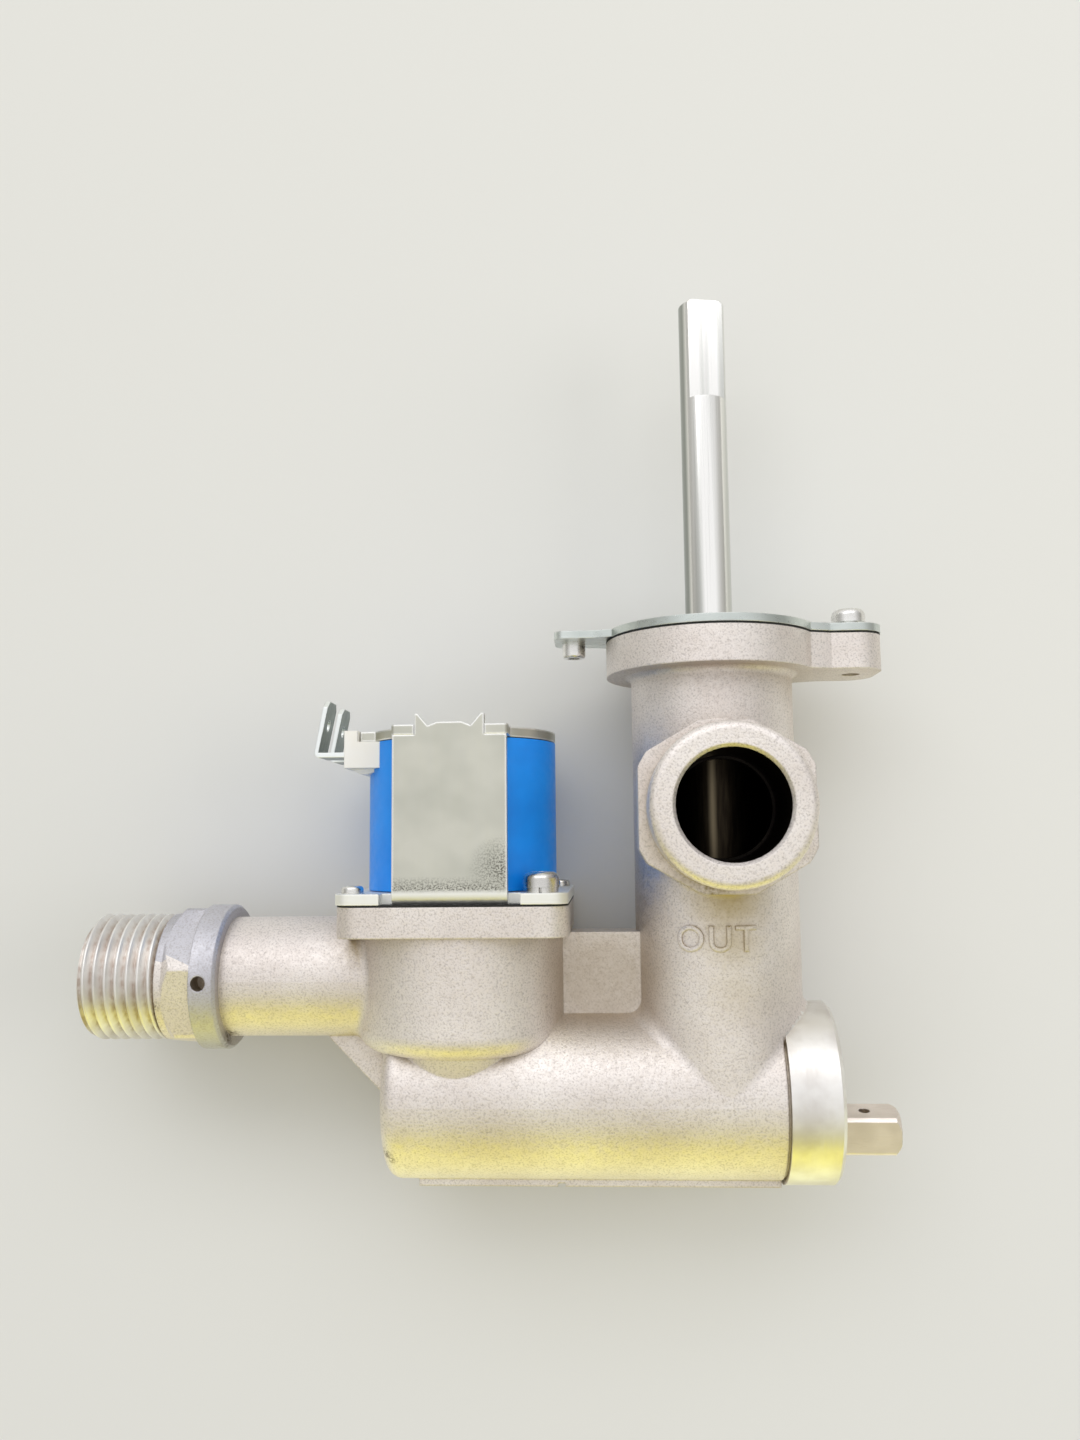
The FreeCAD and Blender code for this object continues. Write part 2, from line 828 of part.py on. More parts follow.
def regulating_shaft():
    journal_low = rotor_top_y - rotor_hub_height
    journal_high = cover_top_y + journal_rise
    journal = bar_y(journal_radius, journal_low, journal_high, regulator_x)
    shaft = bar_y(shaft_radius, journal_high - past, shaft_tip_y, regulator_x)
    tip = Vector(regulator_x, shaft_tip_y, 0)
    shaft = bevelled(shaft, shaft_tip_chamfer, lambda edge: is_circle(edge, shaft_radius, tip))
    flat = block(
        (regulator_x - 2 * shaft_radius, shaft_tip_y - shaft_flat_length, shaft_flat_offset),
        (regulator_x + 2 * shaft_radius, shaft_tip_y + past, 2 * shaft_radius),
    )
    flat.rotate(regulator_axis, ALONG_Y, shaft_flat_turn)
    spindle_end = takeoff_y + gear_back_height() + gear_hub_length
    spindle = bar_y(spindle_radius, spindle_end, rotor_top_y - past, regulator_x)
    nose_end = spindle_end - gear_hub_length
    nose = bar_y(gear_bore_radius - slip_gap, nose_end, spindle_end + past, regulator_x)
    collar = bar_y(shaft_collar_radius, rotor_top_y, gland_bottom_y - face_gap / 2, regulator_x)
    lug = block(
        (regulator_x - stop_lug_width / 2, rotor_top_y + face_gap, 0),
        (regulator_x + stop_lug_width / 2, gland_bottom_y - face_gap, stop_lug_reach),
    )
    lug.rotate(regulator_axis, ALONG_Y, -quarter_turn)
    pin_y = rotor_top_y - rotor_hub_height / 2
    reach = 2 * journal_radius
    pin_hole = bar_x(rotor_pin_radius + slip_gap, regulator_x - reach, regulator_x + reach, pin_y)
    return shaft.cut(flat).fuse([journal, spindle, nose, collar, lug]).cut(pin_hole)


def regulating_rotor():
    outer = regulator_bore_radius - running_gap
    sleeve = bar_y(outer, rotor_bottom_y, rotor_top_y, regulator_x)
    inside = bar_y(
        outer - rotor_wall, rotor_bottom_y, rotor_top_y - rotor_hub_height, regulator_x
    )
    shaft_hole = bar_y(journal_radius + slip_gap, rotor_bottom_y, rotor_top_y, regulator_x)
    window = bar_x(rotor_window_radius, regulator_x - 2 * outer, regulator_x, outlet_y)
    pin_y = rotor_top_y - rotor_hub_height / 2
    pin_hole = bar_x(rotor_pin_radius + slip_gap, regulator_x - outer, regulator_x + outer, pin_y)
    return sleeve.cut([inside, shaft_hole, window, pin_hole])


def rotor_pin():
    pin_y = rotor_top_y - rotor_hub_height / 2
    half = rotor_pin_length / 2
    return bar_x(rotor_pin_radius, regulator_x - half, regulator_x + half, pin_y)


def rotor_spring():
    mean_radius = (regulator_throat_radius + regulator_bore_radius) / 2
    return coil(
        mean_radius,
        rotor_spring_wire,
        regulator_bore_floor_y,
        rotor_bottom_y,
        1,
        regulator_x,
        0.0,
        slip_gap,
    )


def shaft_gland():
    top_part = bar_y(gland_seat_radius - slip_gap, gland_seat_y, top_flange_y, regulator_x)
    neck = bar_y(gland_skirt_outer_radius, gland_bottom_y, gland_seat_y + overlap, regulator_x)
    skirt = ring_y(
        gland_skirt_outer_radius,
        gland_skirt_inner_radius,
        rotor_top_y + face_gap,
        gland_bottom_y + overlap,
        regulator_x,
    )
    lug_half_angle = math.degrees(math.asin(stop_lug_width / 2 / gland_skirt_inner_radius))
    gap_angle = quarter_turn + 2 * (lug_half_angle + stop_gap_angle)
    sector = turned(
        [
            (0, rotor_top_y),
            (2 * regulator_bore_radius, rotor_top_y),
            (2 * regulator_bore_radius, gland_bottom_y),
            (0, gland_bottom_y),
        ],
        regulator_axis,
        ALONG_Y,
        lug_direction(-quarter_turn - lug_half_angle - stop_gap_angle),
        gap_angle,
    )
    shaft_hole = bar_y(
        journal_radius + running_gap, gland_bottom_y - past, top_flange_y + past, regulator_x
    )
    groove = bar_y(
        ring_groove_radius,
        ring_groove_y - ring_groove_width / 2,
        ring_groove_y + ring_groove_width / 2,
        regulator_x,
    )
    return top_part.fuse([neck, skirt.cut(sector)]).cut([shaft_hole, groove])


def regulating_shaft_seal():
    mean_radius = (journal_radius + ring_groove_radius) / 2 + slip_gap / 2
    return torus(mean_radius, ring_wire_radius, Vector(regulator_x, ring_groove_y, 0), ALONG_Y)


MITRE = math.sqrt(0.5)


def gear_back_height():
    """How far the back of a bevel gear lies from the point where the two axes cross."""
    return gear_radius + tooth_below * MITRE + gear_back


def bevel_gear(axis, mate, bore_radius, hub_length, tooth_turn):
    """A small bevel gear about an axis; the tooth pattern starts at the mate's direction."""
    apex = Vector(regulator_x, takeoff_y, 0)
    cone_length = gear_radius / MITRE
    root_radius = (cone_length - tooth_below) * MITRE
    root_height = (cone_length + tooth_below) * MITRE
    back = gear_back_height()
    body = turned(
        [
            (0, root_height * gear_face_share),
            (root_radius * gear_face_share, root_height * gear_face_share),
            (root_radius, root_height),
            (gear_hub_radius, back),
            (gear_hub_radius, back + hub_length),
            (0, back + hub_length),
        ],
        apex,
        axis,
        mate,
    )
    teeth = [tooth(axis, mate, apex, tooth_turn + number * 360.0 / gear_teeth)
             for number in range(gear_teeth)]
    bore = cylinder(bore_radius, apex, apex + axis * (back + hub_length + past))
    return body.fuse(teeth).cut(bore)


def tooth(axis, mate, apex, turn):
    """One straight bevel tooth; all its flanks point at the apex."""
    cone_length = gear_radius / MITRE
    angle = math.radians(turn)
    outward = mate * math.cos(angle) + axis.cross(mate) * math.sin(angle)
    sideways = axis.cross(outward)
    along = (axis + outward) * MITRE
    rise = (outward - axis) * MITRE
    sink = tooth_below + tooth_root_overlap
    low_half = tooth_half_width + sink * tooth_slope
    high_half = tooth_half_width - tooth_above * tooth_slope
    section = [
        along * cone_length - rise * sink - sideways * low_half,
        along * cone_length - rise * sink + sideways * low_half,
        along * cone_length + rise * tooth_above + sideways * high_half,
        along * cone_length + rise * tooth_above - sideways * high_half,
    ]
    outer = [apex + point for point in section]
    inner = [apex + point * gear_face_share for point in section]
    faces = [Part.Face(Part.makePolygon(ends + ends[:1])) for ends in (outer, inner)]
    for number in range(4):
        following = (number + 1) % 4
        side = [outer[number], outer[following], inner[following], inner[number], outer[number]]
        faces.append(Part.Face(Part.makePolygon(side)))
    return Part.Solid(Part.Shell(faces))


def drive_gear():
    return bevel_gear(ALONG_Y, ALONG_X, gear_bore_radius, gear_hub_length, 0.0)


def takeoff_gear():
    half_pitch = 180.0 / gear_teeth
    return bevel_gear(ALONG_X, ALONG_Y, gear_bore_radius, gear_hub_length, half_pitch)


plug_start_x = seam_x + plug_seal_thickness
plug_end_x = plug_start_x + plug_length
recess_end_x = plug_start_x + takeoff_collar_length + 2 * running_gap
takeoff_groove_x = (recess_end_x + plug_end_x) / 2


def takeoff_shaft():
    """The shaft with the square end, seen at the right of the lower barrel."""
    square_start = barrel_end_x + running_gap
    square_end = square_start + takeoff_square_length
    hub_end = regulator_x + gear_back_height() + gear_hub_length
    nose = bar_x(gear_bore_radius - slip_gap, hub_end - gear_hub_length, hub_end + past, takeoff_y)
    neck = bar_x(spindle_radius, hub_end, plug_start_x + running_gap, takeoff_y)
    collar = bar_x(
        takeoff_collar_radius, plug_start_x + running_gap, recess_end_x - running_gap, takeoff_y
    )
    journal = bar_x(takeoff_radius, recess_end_x - running_gap, square_start, takeoff_y)
    centre = Vector(0, takeoff_y, 0)
    square = prism(
        4, takeoff_square, square_start, square_end, centre, ALONG_X, ALONG_Y, takeoff_square_turn
    )
    cone = turned(
        [
            (0, 0),
            (takeoff_square_corner_radius, 0),
            (takeoff_square_corner_radius, takeoff_square_length - takeoff_end_chamfer),
            (takeoff_square_corner_radius - takeoff_end_chamfer, takeoff_square_length),
            (0, takeoff_square_length),
        ],
        Vector(square_start, takeoff_y, 0),
        ALONG_X,
        ALONG_Y,
    )
    hole_x = square_end - takeoff_hole_inset
    hole = bar_y(takeoff_hole_radius, takeoff_y - takeoff_square, takeoff_y + takeoff_square, hole_x)
    hole.rotate(Vector(0, takeoff_y, 0), ALONG_X, takeoff_square_turn)
    return nose.fuse([neck, collar, journal, square.common(cone)]).cut(hole)


def barrel_end_plug():
    plug = bar_x(plug_radius - slip_gap, plug_start_x, plug_end_x, barrel_y)
    hollows = [
        bar_x(takeoff_radius + running_gap, plug_start_x - past, plug_end_x + past, takeoff_y),
        bar_x(takeoff_collar_radius + running_gap, plug_start_x - past, recess_end_x, takeoff_y),
        bar_x(
            takeoff_groove_radius,
            takeoff_groove_x - takeoff_groove_width / 2,
            takeoff_groove_x + takeoff_groove_width / 2,
            takeoff_y,
        ),
    ]
    for side in (1, -1):
        hollows.append(
            bar_x(
                plug_spanner_hole_radius,
                plug_end_x - plug_spanner_hole_depth,
                plug_end_x + past,
                barrel_y + plug_radius / 4,
                side * plug_spanner_hole_span,
            )
        )
    return plug.cut(hollows)


def takeoff_shaft_seal():
    mean_radius = (takeoff_radius + takeoff_groove_radius) / 2 + slip_gap / 2
    centre = Vector(takeoff_groove_x, takeoff_y, 0)
    return torus(mean_radius, takeoff_ring_wire, centre, ALONG_X)


def end_plug_seal():
    ring = bar_x(plug_radius - slip_gap, seam_x, plug_start_x, barrel_y)
    return ring.cut(bar_x(barrel_bore_radius, seam_x, plug_start_x, barrel_y))


def end_plug_clip():
    """A split ring in the groove that holds the plug."""
    ring = bar_x(clip_groove_radius - slip_gap, plug_end_x, plug_end_x + clip_thickness, barrel_y)
    ring = ring.cut(bar_x(clip_inner_radius, plug_end_x, plug_end_x + clip_thickness, barrel_y))
    start = math.radians(90.0 - clip_gap_angle / 2)
    outward = Vector(0, math.sin(start), math.cos(start))
    gap = turned(
        [
            (0, 0),
            (clip_groove_radius + past, 0),
            (clip_groove_radius + past, clip_thickness),
            (0, clip_thickness),
        ],
        Vector(plug_end_x, barrel_y, 0),
        ALONG_X * -1.0,
        outward,
        clip_gap_angle,
    )
    gap.translate(ALONG_X * clip_thickness)
    return ring.cut(gap)


def bonnet_gasket():
    low = (solenoid_x - flange_half, flange_top_y, -flange_half)
    high = (solenoid_x + flange_half, base_bottom_y, flange_half)
    outline = rounded(block(low, high), flange_corner, lambda edge: runs_along(edge, ALONG_Y))
    holes = [bar_y(tube_outer_radius + face_gap, flange_top_y, base_bottom_y, solenoid_x)]
    for place in yoke_screw_places + pin_places:
        holes.append(bar_y(screw_hole_radius, flange_top_y, base_bottom_y, place.x, place.z))
    return outline.cut(holes)


def yoke_tab_outline():
    """The peened top of a yoke wall: two horns, two dips and a flat middle."""
    half = tab_width / 2
    tip = yoke_top_y + tab_tip_rise
    dip = yoke_top_y + tab_dip_rise
    middle = yoke_top_y + tab_middle_rise
    half_outline = [
        (half, yoke_top_y - past),
        (half, tip),
        (half - tab_tip_width, tip),
        (tab_dip_x, dip),
        (tab_middle_x, middle),
    ]
    mirrored = [(-x, y) for x, y in reversed(half_outline)]
    return [Vector(x, y, 0) for x, y in half_outline + mirrored]


def yoke_wall(side):
    """One wall of the yoke with its tab, standing at the front or the rear edge."""
    half = yoke_wall_width / 2
    low_z, high_z = sorted((side * yoke_inner_z, side * flange_half))
    wall = block(
        (solenoid_x - half, base_bottom_y, low_z), (solenoid_x + half, yoke_top_y, high_z)
    )
    outer_z = side * flange_half

    def is_bend(edge):
        low = abs(edge.CenterOfMass.y - base_bottom_y) < 1e-3
        return runs_along(edge, ALONG_X) and low and abs(edge.CenterOfMass.z - outer_z) < 1e-3

    wall = rounded(wall, yoke_bend_radius, is_bend)
    tab = plate(yoke_tab_outline(), Vector(solenoid_x, 0, low_z), ALONG_Z * sheet)
    return wall.fuse(tab)


def yoke_frame():
    low = (solenoid_x - flange_half, base_bottom_y, -flange_half)
    high = (solenoid_x + flange_half, base_top_y, flange_half)
    base = rounded(block(low, high), yoke_corner, lambda edge: runs_along(edge, ALONG_Y))
    cuts = [bar_y(tube_outer_radius + running_gap, base_bottom_y, base_top_y, solenoid_x)]
    half = yoke_wall_width / 2
    for side in (1, -1):
        low_z, high_z = sorted((side * (flange_half - relief_depth), side * (flange_half + past)))
        cuts.append(
            block(
                (solenoid_x - half - relief_width, base_bottom_y, low_z),
                (solenoid_x + half + relief_width, base_top_y, high_z),
            )
        )
    for place in yoke_screw_places:
        cuts.append(bar_y(screw_hole_radius, base_bottom_y, base_top_y, place.x, place.z))
    for place in pin_places:
        cuts.append(bar_y(screw_hole_radius, base_bottom_y, base_top_y, place.x, place.z))
    base = base.cut(cuts)
    roots = []
    for side in (1, -1):
        low_z, high_z = sorted((side * (flange_half - relief_depth), side * (yoke_inner_z + overlap)))
        roots.append(
            block(
                (solenoid_x - half, base_bottom_y, low_z), (solenoid_x + half, base_top_y, high_z)
            )
        )
    return base.fuse(roots + [yoke_wall(1), yoke_wall(-1)]).removeSplitter()


def yoke_top_plate():
    disc = bar_y(coil_radius, yoke_top_y, top_plate_top_y, solenoid_x)
    prongs = block(
        (solenoid_x - top_plate_prong_width / 2, yoke_top_y, -flange_half),
        (solenoid_x + top_plate_prong_width / 2, top_plate_top_y, flange_half),
    )
    prongs = rounded(prongs, prong_corner, lambda edge: runs_along(edge, ALONG_Y))
    tongue = block(
        (top_plate_tongue_x, yoke_top_y, -top_plate_tongue_half_width),
        (solenoid_x, top_plate_top_y, top_plate_tongue_half_width),
    )
    cuts = [bar_y(core_stud_radius + slip_gap, yoke_top_y, top_plate_top_y, solenoid_x)]
    half = tab_width / 2 + tab_notch_gap
    for side in (1, -1):
        low_z, high_z = sorted((side * (yoke_inner_z - tab_notch_gap), side * (flange_half + past)))
        cuts.append(
            block(
                (solenoid_x - half, yoke_top_y, low_z), (solenoid_x + half, top_plate_top_y, high_z)
            )
        )
    return disc.fuse([prongs, tongue]).cut(cuts).removeSplitter()


def spring_washers():
    washers = []
    for place in yoke_screw_places:
        ring = ring_y(
            washer_outer_radius,
            washer_inner_radius,
            base_top_y,
            base_top_y + washer_thickness,
            place.x,
            place.z,
        )
        slit = block(
            (place.x - washer_slit / 2, base_top_y, place.z),
            (
                place.x + washer_slit / 2,
                base_top_y + washer_thickness,
                place.z + washer_outer_radius + past,
            ),
        )
        washers.append(ring.cut(slit))
    return Part.makeCompound(washers)


def locating_pins():
    pins = []
    for place in pin_places:
        head = bar_y(pin_radius, base_top_y, base_top_y + pin_rise, place.x, place.z)
        top = Vector(place.x, base_top_y + pin_rise, place.z)
        head = rounded(
            head, pin_rise / 2, lambda edge, top=top: is_circle(edge, pin_radius, top)
        )
        low = base_bottom_y - pin_depth
        pins.append(head.fuse(bar_y(screw_radius, low, base_top_y + overlap, place.x, place.z)))
    return Part.makeCompound(pins)


bobbin_low_y = base_top_y + coil_gap
bobbin_high_y = yoke_top_y - coil_gap


def terminal_block():
    low_block = block(
        (block_start_x, block_bottom_y, -block_half_depth),
        (block_end_x, bobbin_high_y, block_half_depth),
    )
    lip = block(
        (block_start_x, block_bottom_y, -block_half_depth),
        (top_plate_tongue_x - face_gap, block_top_y, block_half_depth),
    )
    wedge_x = block_start_x + block_wedge_start
    wedge_low_x = wedge_x + block_wedge_slope
    wedge_low_y = block_bottom_y - block_wedge
    half = block_half_depth - block_wedge_inset
    wedge = plate(
        [
            Vector(wedge_x, block_bottom_y, 0),
            Vector(wedge_low_x, wedge_low_y, 0),
            Vector(wedge_low_x + block_wedge_flat, wedge_low_y, 0),
            Vector(block_end_x, block_bottom_y, 0),
        ],
        Vector(0, 0, -half),
        ALONG_Z * (2 * half),
    )
    return low_block.fuse([lip, wedge]).removeSplitter()


blade_root_x = block_start_x + blade_root_cover


def blade(centre_z):
    """One bent spade blade: a leg out of the block, a bend, and the blade itself."""
    half = blade_width / 2
    inner_x = blade_outer_x + blade_thickness
    bend_y = blade_leg_y + blade_thickness
    points = [
        Vector(blade_root_x, blade_leg_y, 0),
        Vector(blade_outer_x, blade_leg_y, 0),
        Vector(blade_outer_x + blade_lean, blade_tip_y, 0),
        Vector(inner_x + blade_lean, blade_tip_y, 0),
        Vector(inner_x, bend_y, 0),
        Vector(blade_root_x, bend_y, 0),
    ]
    strip = plate(points, Vector(0, 0, centre_z - half), ALONG_Z * blade_width)

    def at_tip(edge):
        return runs_along(edge, ALONG_X) and abs(edge.CenterOfMass.y - blade_tip_y) < 1e-3

    def outer_bend(edge):
        place = edge.CenterOfMass
        near = abs(place.x - blade_outer_x) < 1e-3 and abs(place.y - blade_leg_y) < 1e-3
        return runs_along(edge, ALONG_Z) and near

    strip = rounded(strip, blade_thickness, outer_bend)
    strip = bevelled(strip, blade_tip_chamfer, at_tip)
    hole_y = blade_tip_y - blade_hole_below_tip
    hole_end = inner_x + blade_lean + past
    hole = bar_x(blade_hole_radius, blade_outer_x - past, hole_end, hole_y, centre_z)
    return strip.cut(hole)


def blade_socket(centre_z):
    half = blade_width / 2
    return block(
        (block_start_x - past, blade_leg_y, centre_z - half),
        (blade_root_x, blade_leg_y + blade_thickness, centre_z + half),
    )


def coil_bobbin():
    spool = bar_y(bobbin_inner_radius + bobbin_wall, bobbin_low_y, bobbin_high_y, solenoid_x)
    rim_radius = coil_radius - coil_wall - slip_gap
    rims = [
        bar_y(rim_radius, bobbin_low_y, bobbin_low_y + bobbin_rim, solenoid_x),
        bar_y(rim_radius, bobbin_high_y - bobbin_rim, bobbin_high_y, solenoid_x),
    ]
    clear_of_winding = ring_y(
        winding_radius + face_gap,
        bobbin_inner_radius + bobbin_wall,
        bobbin_low_y + bobbin_rim,
        bobbin_high_y - bobbin_rim,
        solenoid_x,
    )
    spool = spool.fuse(rims + [terminal_block()]).cut(clear_of_winding)
    bore = bar_y(bobbin_inner_radius, bobbin_low_y, bobbin_high_y, solenoid_x)
    sockets = [blade_socket(side * blade_spacing / 2) for side in (1, -1)]
    return spool.cut([bore] + sockets).removeSplitter()


def coil_winding():
    return ring_y(
        winding_radius,
        bobbin_inner_radius + bobbin_wall + slip_gap,
        bobbin_low_y + bobbin_rim + slip_gap,
        bobbin_high_y - bobbin_rim - slip_gap,
        solenoid_x,
    )


def coil_jacket():
    skin = ring_y(coil_radius, coil_radius - coil_wall, bobbin_low_y, bobbin_high_y, solenoid_x)
    return skin.cut(terminal_block())


def core_tube():
    tube_low = flange_top_y - tube_flange_thickness
    tube = bar_y(tube_outer_radius, tube_low, yoke_top_y, solenoid_x)
    rim = bar_y(tube_flange_radius, tube_low, flange_top_y, solenoid_x)
    bore = bar_y(tube_inner_radius, tube_low - past, yoke_top_y + past, solenoid_x)
    return tube.fuse(rim).cut(bore)


def core_tube_seal():
    high = flange_top_y - tube_flange_thickness
    return ring_y(tube_flange_radius, chamber_radius, high - tube_seal_thickness, high, solenoid_x)


def fixed_core():
    bottom = plunger_top_y + plunger_stroke + plunger_end_gap
    core = bar_y(core_radius, bottom, yoke_top_y, solenoid_x)
    stud = bar_y(core_stud_radius, yoke_top_y - overlap, top_plate_top_y, solenoid_x)
    head = bar_y(core_head_radius, top_plate_top_y, top_plate_top_y + core_head_height, solenoid_x)
    return core.fuse([stud, head])


plunger_foot_top_y = seat_top_y + disc_thickness - disc_pocket_depth + plunger_foot_height


def plunger():
    foot_bottom = plunger_foot_top_y - plunger_foot_height
    bar = bar_y(plunger_radius, foot_bottom, plunger_top_y, solenoid_x)
    foot = bar_y(plunger_foot_radius, foot_bottom, plunger_foot_top_y, solenoid_x)
    disc_pocket = bar_y(
        disc_radius + running_gap, foot_bottom, foot_bottom + disc_pocket_depth, solenoid_x
    )
    spring_pocket = bar_y(
        spring_pocket_radius, plunger_top_y - spring_pocket_depth, plunger_top_y, solenoid_x
    )
    return bar.fuse(foot).cut([disc_pocket, spring_pocket])


def plunger_spring():
    low = plunger_top_y - spring_pocket_depth
    high = plunger_top_y + plunger_stroke + plunger_end_gap
    return coil(
        spring_radius, spring_wire_radius, low, high, spring_turns, solenoid_x, 0.0, slip_gap
    )


def valve_disc():
    return bar_y(disc_radius, seat_top_y, seat_top_y + disc_thickness, solenoid_x)


def screws(places, seat_y, head_rise=0.0):
    return Part.makeCompound([pan_screw(place, seat_y, head_rise) for place in places])


def all_nodes():
    return {
        "valve_body": valve_body(),
        "cover_gasket": cover_gasket(),
        "cover_plate": cover_plate(),
        "cover_screws": screws(cover_screw_places, cover_top_y, shoulder_height),
        "ear_nut": ear_nut(),
        "regulating_shaft": regulating_shaft(),
        "regulating_rotor": regulating_rotor(),
        "rotor_pin": rotor_pin(),
        "rotor_spring": rotor_spring(),
        "shaft_gland": shaft_gland(),
        "regulating_shaft_seal": regulating_shaft_seal(),
        "drive_gear": drive_gear(),
        "takeoff_gear": takeoff_gear(),
        "takeoff_shaft": takeoff_shaft(),
        "takeoff_shaft_seal": takeoff_shaft_seal(),
        "barrel_end_plug": barrel_end_plug(),
        "end_plug_seal": end_plug_seal(),
        "end_plug_clip": end_plug_clip(),
        "bonnet_gasket": bonnet_gasket(),
        "yoke_frame": yoke_frame(),
        "yoke_top_plate": yoke_top_plate(),
        "yoke_screws": screws(yoke_screw_places, base_top_y + washer_thickness),
        "spring_washers": spring_washers(),
        "locating_pins": locating_pins(),
        "coil_bobbin": coil_bobbin(),
        "coil_winding": coil_winding(),
        "coil_jacket": coil_jacket(),
        "terminal_blade_front": blade(blade_spacing / 2),
        "terminal_blade_rear": blade(-blade_spacing / 2),
        "core_tube": core_tube(),
        "core_tube_seal": core_tube_seal(),
        "fixed_core": fixed_core(),
        "plunger": plunger(),
        "plunger_spring": plunger_spring(),
        "valve_disc": valve_disc(),
    }


os.makedirs("parts", exist_ok=True)
for node, shape in all_nodes().items():
    print(f"{node:24s} solids {len(shape.Solids)} valid {shape.isValid()} mm3 {shape.Volume:9.1f}")
    shape.exportStep(f"parts/{node}.step")
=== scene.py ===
# %% [markdown]
# # A gas control valve, dressed for the camera
# The solids come from the construction model and stay where they are. This lesson gives them their
# finishes, cuts the real thread on the inlet, raises the cast mark beside the outlet, copies a
# spring, and sets up the floor, the light and the camera. Each step says what the thing is on the
# real valve and why it is made this way.

# %% Load the solids and note their box
import math

import bpy
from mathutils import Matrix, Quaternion, Vector
from mathutils.kdtree import KDTree


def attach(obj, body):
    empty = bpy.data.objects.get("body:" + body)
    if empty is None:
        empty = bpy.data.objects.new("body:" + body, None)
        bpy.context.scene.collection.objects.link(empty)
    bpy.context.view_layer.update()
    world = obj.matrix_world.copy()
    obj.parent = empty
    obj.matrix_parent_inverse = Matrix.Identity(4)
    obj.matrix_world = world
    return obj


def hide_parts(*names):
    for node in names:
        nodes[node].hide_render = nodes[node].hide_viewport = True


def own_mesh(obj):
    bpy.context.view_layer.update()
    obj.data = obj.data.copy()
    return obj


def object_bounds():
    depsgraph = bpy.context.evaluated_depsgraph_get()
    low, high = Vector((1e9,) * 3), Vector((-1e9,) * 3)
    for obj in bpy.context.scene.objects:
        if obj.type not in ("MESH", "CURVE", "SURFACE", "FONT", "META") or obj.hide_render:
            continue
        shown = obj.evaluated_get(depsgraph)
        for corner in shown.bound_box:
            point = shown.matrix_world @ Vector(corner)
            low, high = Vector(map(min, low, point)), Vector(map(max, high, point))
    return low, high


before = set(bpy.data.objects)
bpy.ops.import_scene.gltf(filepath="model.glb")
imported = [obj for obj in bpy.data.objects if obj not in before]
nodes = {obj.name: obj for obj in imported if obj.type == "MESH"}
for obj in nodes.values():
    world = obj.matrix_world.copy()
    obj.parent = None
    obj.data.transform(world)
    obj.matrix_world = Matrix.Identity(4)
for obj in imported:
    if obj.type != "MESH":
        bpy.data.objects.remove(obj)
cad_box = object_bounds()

print("solids loaded:", len(nodes))

# %% [markdown]
# ## Millimetres, and choosing one piece
# Everything below is in metres, but sizes on a valve are read in millimetres, so one value turns
# the second into the first. An operator works on all that is selected, and the loader leaves its
# objects selected, so nothing is modelled before everything is let go of.

# %% Small helpers
MM = 0.001


def in_mm(box):
    """A box's corners in millimetres, short enough to read."""
    return [[round(value / MM, 2) for value in corner] for corner in box]


def choose(piece):
    """Leaves only this piece selected and active."""
    if bpy.context.object and bpy.context.object.mode != "OBJECT":
        bpy.ops.object.mode_set(mode="OBJECT")
    bpy.ops.object.select_all(action="DESELECT")
    piece.select_set(True)
    bpy.context.view_layer.objects.active = piece


def settle(piece):
    """Moves a piece's place into its mesh, so that its object sits at the origin."""
    choose(piece)
    bpy.ops.object.transform_apply(location=True, rotation=True, scale=True)


print("box in millimetres:", in_mm(cad_box))

# %% [markdown]
# ## Colours and nodes
# A paint chart or a photograph gives a colour as an sRGB hex value, while the renderer works in
# linear light. One function turns the first into the second, so that a colour is only ever written
# once, the way an artist would read it. Another adds any node with its settings and links. A Mix
# node numbers its sockets in a way that is hard to remember, so they get names here.

# %% Hex colours, and one way to add a node
SHARE, UNDER, OVER = 0, 6, 7


def linear(hex_value):
    """An sRGB hex colour as linear red, green, blue and alpha."""
    channels = [int(hex_value[place:place + 2], 16) / 255 for place in (1, 3, 5)]
    return (*[c / 12.92 if c <= 0.04045 else ((c + 0.055) / 1.055) ** 2.4 for c in channels], 1.0)


def plug(tree, value, node, name):
    """Fills a socket with a value, an output, or the first output that a node has in use."""
    if isinstance(value, bpy.types.Node):
        value = next(output for output in value.outputs if output.enabled)
    if isinstance(value, bpy.types.NodeSocket):
        tree.links.new(value, node.inputs[name])
    else:
        node.inputs[name].default_value = value


def add_node(tree, kind, sockets=None, **settings):
    """Adds a node. Settings are its own fields, and sockets are filled by name or number."""
    node = tree.nodes.new(kind)
    for name, value in settings.items():
        setattr(node, name, value)
    for name, value in (sockets or {}).items():
        plug(tree, value, node, name)
    return node


print("white paper in linear light:", [round(value, 3) for value in linear("#F2F2EE")])

# %% [markdown]
# ## How each finish starts
# Two numbers matter most to a finish: whether it is metal, and how rough it is. Its patterns then
# read the place on the piece itself, so that they stay where they are when the piece moves.

# %% Start a finish
finishes = {}


def start_finish(name, metallic, roughness):
    """A new finish. Returns its node tree, its shader and the place on the piece."""
    finishes[name] = bpy.data.materials.new(name)
    finishes[name].use_nodes = True
    tree = finishes[name].node_tree
    shader = tree.nodes["Principled BSDF"]
    shader.inputs["Metallic"].default_value = metallic
    shader.inputs["Roughness"].default_value = roughness
    return tree, shader, add_node(tree, "ShaderNodeTexCoord").outputs["Object"]


print("finishes started:", len(finishes))
